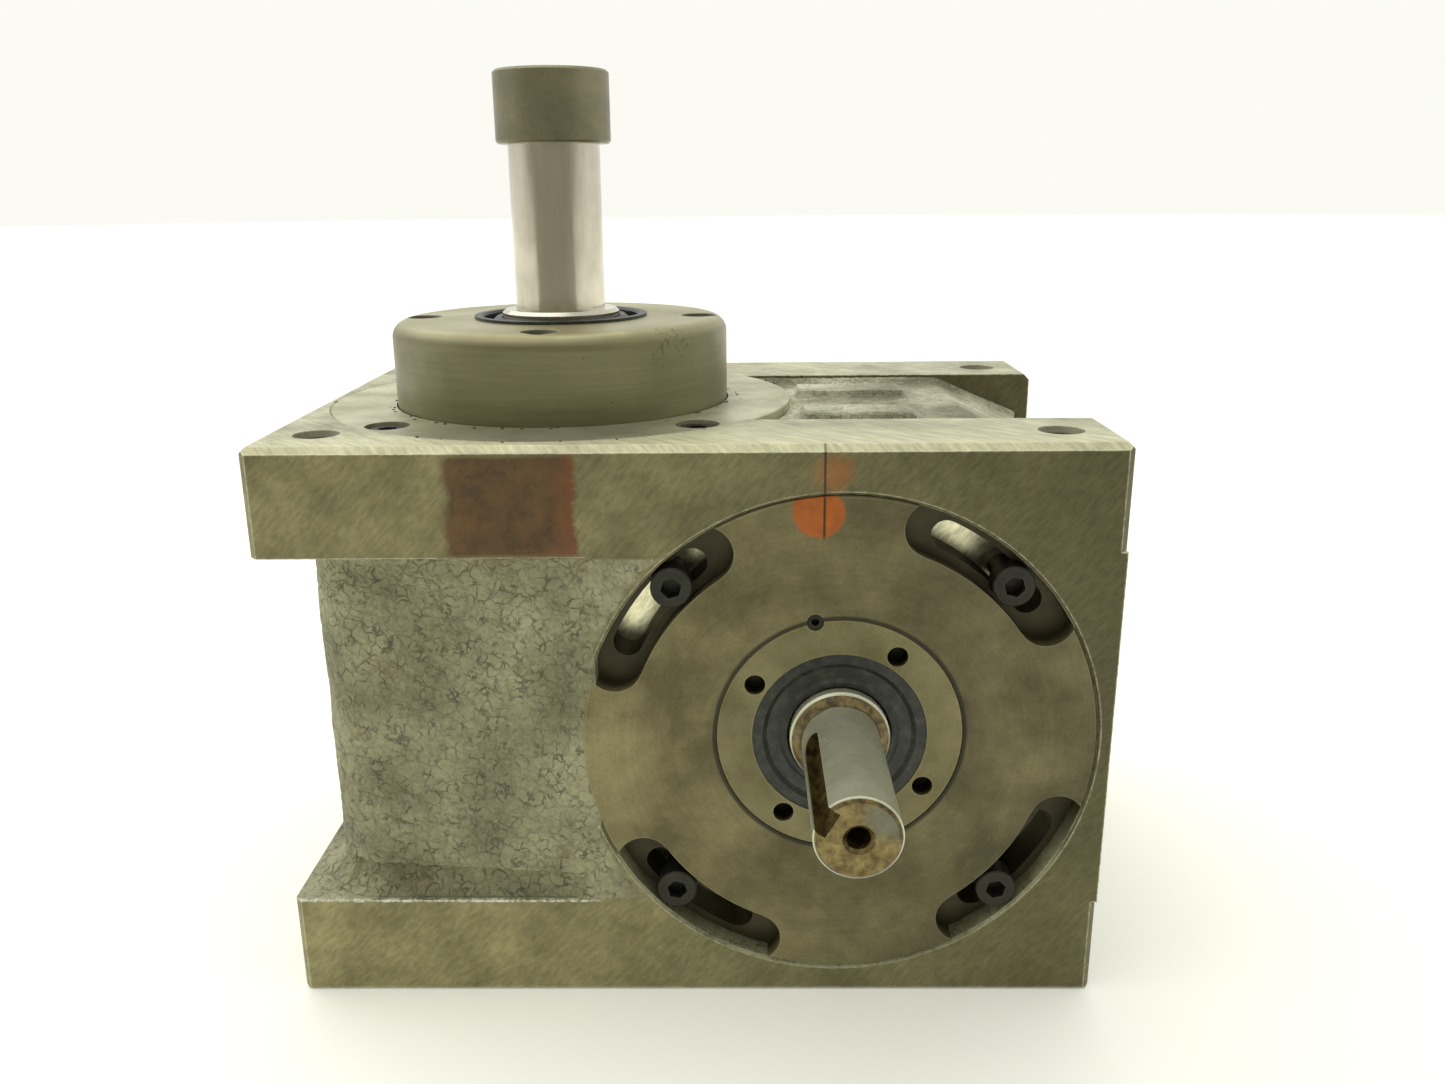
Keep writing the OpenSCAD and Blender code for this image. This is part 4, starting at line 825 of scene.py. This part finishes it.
def makeCastFloor(plan):
    start = discHigh.x + plan["discGap"]
    slope = math.hypot(plan["slopeEndX"] - plan["slopeX"], plan["floorZ"] - plan["slopeEndZ"])
    flat = plan["slopeX"] - start + plan["flatSpare"]
    drop = plan["slopeEndZ"] - plan["footZ"]
    whole = flat + slope + drop
    mesh = bmesh.new()
    bmesh.ops.create_grid(mesh, x_segments=round(whole / plan["grid"]),
                          y_segments=round(2 * plan["halfWidth"] / plan["grid"]), size=1)
    slopeWay = Vector((plan["slopeEndX"] - plan["slopeX"], 0, plan["slopeEndZ"] - plan["floorZ"]))
    slopeUp = Vector((-slopeWay.z, 0, slopeWay.x)).normalized()

    def step(value, low, high):
        t = max(0.0, min(1.0, (value - low) / (high - low)))
        return t * t * (3 - 2 * t)

    for corner in mesh.verts:
        along = (corner.co.x + 1) / 2 * whole
        y = corner.co.y * plan["halfWidth"]
        rim = math.sqrt(start ** 2 - y ** 2)
        up = Vector((0, 0, 1))
        extra = 0.0
        if along < flat:
            x = rim + (plan["slopeX"] - rim) * along / flat
            point = Vector((x, y, plan["floorZ"]))
            for x0, x1, y0, y1 in plan["bars"]:
                inside = min(x - x0, x1 - x, y - y0, y1 - y)
                extra += plan["barHigh"] * step(inside, 0, plan["barEdge"])
            for px, py in plan["dimples"]:
                away = math.hypot(x - px, y - py) / plan["dimpleRadius"]
                extra -= plan["dimpleDeep"] * (1 - step(away, 0.6, 1.0))
        elif along < flat + slope:
            part = (along - flat) / slope
            point = Vector((plan["slopeX"], y, plan["floorZ"])) + slopeWay * part
            up = slopeUp
        else:
            point = Vector((plan["slopeEndX"], y, plan["slopeEndZ"] - (along - flat - slope)))
            up = Vector((1, 0, 0))
        edge = plan["halfWidth"] - abs(y)
        if along < flat + slope:
            extra += plan["coveHigh"] * (1 - step(edge, 0, plan["coveWide"]))
        out = plan["skin"] + max(0.0, extra) + castRelief(point, plan)
        if extra < 0:
            out += extra
        corner.co = point + up * max(0.00005, out)

    def inward(at):  # back of the shell, just under the CAD floor
        if at.x > plan["slopeEndX"] - 0.0005:
            return Vector((plan["slopeEndX"] - plan["depth"], at.y,
                           min(at.z, plan["slopeEndZ"] - 0.0005)))
        if at.x > plan["slopeX"]:
            part = (at.x - plan["slopeX"]) / (plan["slopeEndX"] - plan["slopeX"])
            return Vector((at.x - 0.0004, at.y,
                           plan["floorZ"] - plan["depth"]
                           + part * (plan["slopeEndZ"] - plan["floorZ"])))
        return Vector((at.x, at.y, plan["floorZ"] - plan["depth"]))

    closeShell(mesh, inward)
    addPiece("castNotchFloor", mesh, castFloorMaterial, "housing_body")


makeCastFloor(castFloor)
print("notch floor made")

# dried grease on the face of the shaft's shoulder: golden brown, semi-gloss, lumpy
greaseRing = {"inner": 0.0124, "outer": 0.0154, "back": -0.0929, "thick": 0.0011, "lumpMm": 3.0,
              "lumpHigh": 0.0008, "steps": 72, "dark": "#4d3f21", "light": "#83703f"}


def makeGreaseRing(plan):
    mesh = bmesh.new()
    corners = [(plan["inner"], 0), (plan["outer"], 0), (plan["outer"] - 0.0012, -plan["thick"]),
               (plan["inner"] + 0.0003, -plan["thick"] * 1.6)]
    ringVerts = [mesh.verts.new((shaftX + r, plan["back"] + d, shaftZ)) for r, d in corners]
    edges = [mesh.edges.new((ringVerts[i], ringVerts[(i + 1) % 4])) for i in range(4)]
    bmesh.ops.spin(mesh, geom=ringVerts + edges, cent=(shaftX, 0, shaftZ), axis=(0, 1, 0),
                   angle=2 * math.pi, steps=plan["steps"], use_merge=True)
    bmesh.ops.remove_doubles(mesh, verts=mesh.verts[:], dist=0.00001)
    for corner in mesh.verts:
        if corner.co.y < plan["back"] - 0.0002:
            corner.co.y += plan["lumpHigh"] * noise.noise(corner.co * perMetre(plan["lumpMm"]))
    bmesh.ops.recalc_face_normals(mesh, faces=mesh.faces[:])
    material, tree, shader = newMaterial("driedGoldenGrease", 0.0, 0.4)
    place = addNode(tree, "TexCoord", output="Object")
    tone = addNode(tree, "TexNoise", {"Vector": place, "Scale": perMetre(2.5), "Detail": 5})
    tone = addNode(tree, "MapRange", {0: tone, 1: 0.4, 2: 0.62})
    colour = addNode(tree, "Mix", {0: tone, 6: linear(plan["dark"]), 7: linear(plan["light"])},
                     2, data_type="RGBA")
    tree.links.new(colour, shader.inputs["Base Color"])
    addPiece("shaftGreaseRing", mesh, material, "input_shaft_assembly")


makeGreaseRing(greaseRing)

# dry grit around the foot of the hub, with every fourth grain out on the disc's edge: matt
dirtSpecks = {"seed": 7, "count": 60, "small": 0.0002, "large": 0.0006, "flatness": 0.45,
              "ringFrom": 0.0608, "ringTo": 0.066, "edgeFrom": 0.0825, "edgeTo": 0.0845,
              "angleFrom": 150, "angleTo": 390, "colour": "#4d462f"}


def makeDirtSpecks(plan):
    chance = random.Random(plan["seed"])
    mesh = bmesh.new()
    for index in range(plan["count"]):
        radius = chance.uniform(plan["small"], plan["large"])
        angle = chance.uniform(math.radians(plan["angleFrom"]), math.radians(plan["angleTo"]))
        reach = chance.triangular(plan["ringFrom"], plan["ringTo"], plan["ringFrom"])
        if index % 4 == 0:
            reach = chance.uniform(plan["edgeFrom"], plan["edgeTo"])
        at = Vector((reach * math.cos(angle), reach * math.sin(angle), discHigh.z + radius * 0.2))
        place = Matrix.Translation(at) @ Matrix.Diagonal((radius * chance.uniform(0.8, 1.6), radius,
                                                          radius * plan["flatness"], 1))
        bmesh.ops.create_icosphere(mesh, subdivisions=1, radius=1, matrix=place)
    material = plainMaterial("dryGritDirt", 0.8, plan["colour"])[0]
    addPiece("hubFootGrit", mesh, material, "housing_body")


makeDirtSpecks(dirtSpecks)
print("small pieces made")

# plain soft studio: pale sky, an overhead softbox and a white table
studio = {
    "skyBright": "#fbfbf4", "skyDark": "#85857a",
    "sunStrength": 1.15, "sunFrom": (-0.45, 0.35, 1.0), "sunSpread": 75,
    "flag": "#908d82", "flagPlace": (0, -1.1, 0.62), "flagWide": 2.6, "flagHigh": 1.2,
    "floor": "#f3f3ea", "floorGlow": 0.2, "floorRadius": 12.0,
}


def makeStudio(plan):
    bpy.context.scene.view_settings.view_transform = "Standard"
    world = bpy.data.worlds.new("studioSky")
    bpy.context.scene.world = world
    world.use_nodes = True
    tree = world.node_tree
    toward = addNode(tree, "TexCoord", output="Generated")
    y, z = addNode(tree, "SeparateXYZ", {0: toward}, None)[1:]
    away = addNode(tree, "Math", {0: z, 1: 0.7, 2: y}, operation="MULTIPLY_ADD")
    lit = addNode(tree, "MapRange", {0: away, 1: -0.75, 2: 0.1}, interpolation_type="SMOOTHSTEP")
    colour = addNode(tree, "Mix", {0: lit, 6: linear(plan["skyDark"]),
                                   7: linear(plan["skyBright"])}, 2, data_type="RGBA")
    tree.links.new(colour, tree.nodes["Background"].inputs["Color"])
    lampData = bpy.data.lights.new("overheadSoftbox", "SUN")
    lampData.energy = plan["sunStrength"]
    lampData.angle = math.radians(plan["sunSpread"])
    lamp = bpy.data.objects.new("overheadSoftbox", lampData)
    lamp.rotation_euler = Vector(plan["sunFrom"]).to_track_quat("Z", "Y").to_euler()
    bpy.context.scene.collection.objects.link(lamp)
    mesh = bmesh.new()
    bmesh.ops.create_circle(mesh, cap_ends=True, segments=96, radius=plan["floorRadius"])
    data = bpy.data.meshes.new("studioFloor")
    mesh.to_mesh(data)
    mesh.free()
    material, shader = plainMaterial("whiteTableLaminate", 0.55, plan["floor"])
    shader.inputs["Emission Color"].default_value = linear(plan["floor"])
    shader.inputs["Emission Strength"].default_value = plan["floorGlow"]
    data.materials.append(material)
    floor = bpy.data.objects.new("studioFloor", data)
    bpy.context.scene.collection.objects.link(floor)
    # a grey card in front of the drive that only mirrors in polished steel
    cardMesh = bmesh.new()
    bmesh.ops.create_grid(cardMesh, x_segments=1, y_segments=1, size=0.5)
    stand = (Matrix.Translation(plan["flagPlace"]) @ Matrix.Rotation(math.radians(90), 4, "X")
             @ Matrix.Diagonal((plan["flagWide"], plan["flagHigh"], 1, 1)))
    bmesh.ops.transform(cardMesh, matrix=stand, verts=cardMesh.verts[:])
    cardData = bpy.data.meshes.new("studioFlag")
    cardMesh.to_mesh(cardData)
    cardMesh.free()
    cardData.materials.append(plainMaterial("greyFlagCloth", 0.9, plan["flag"])[0])
    card = bpy.data.objects.new("studioFlag", cardData)
    card.visible_camera = False
    card.visible_diffuse = False
    card.visible_shadow = False
    bpy.context.scene.collection.objects.link(card)


makeStudio(studio)
print("studio lit")
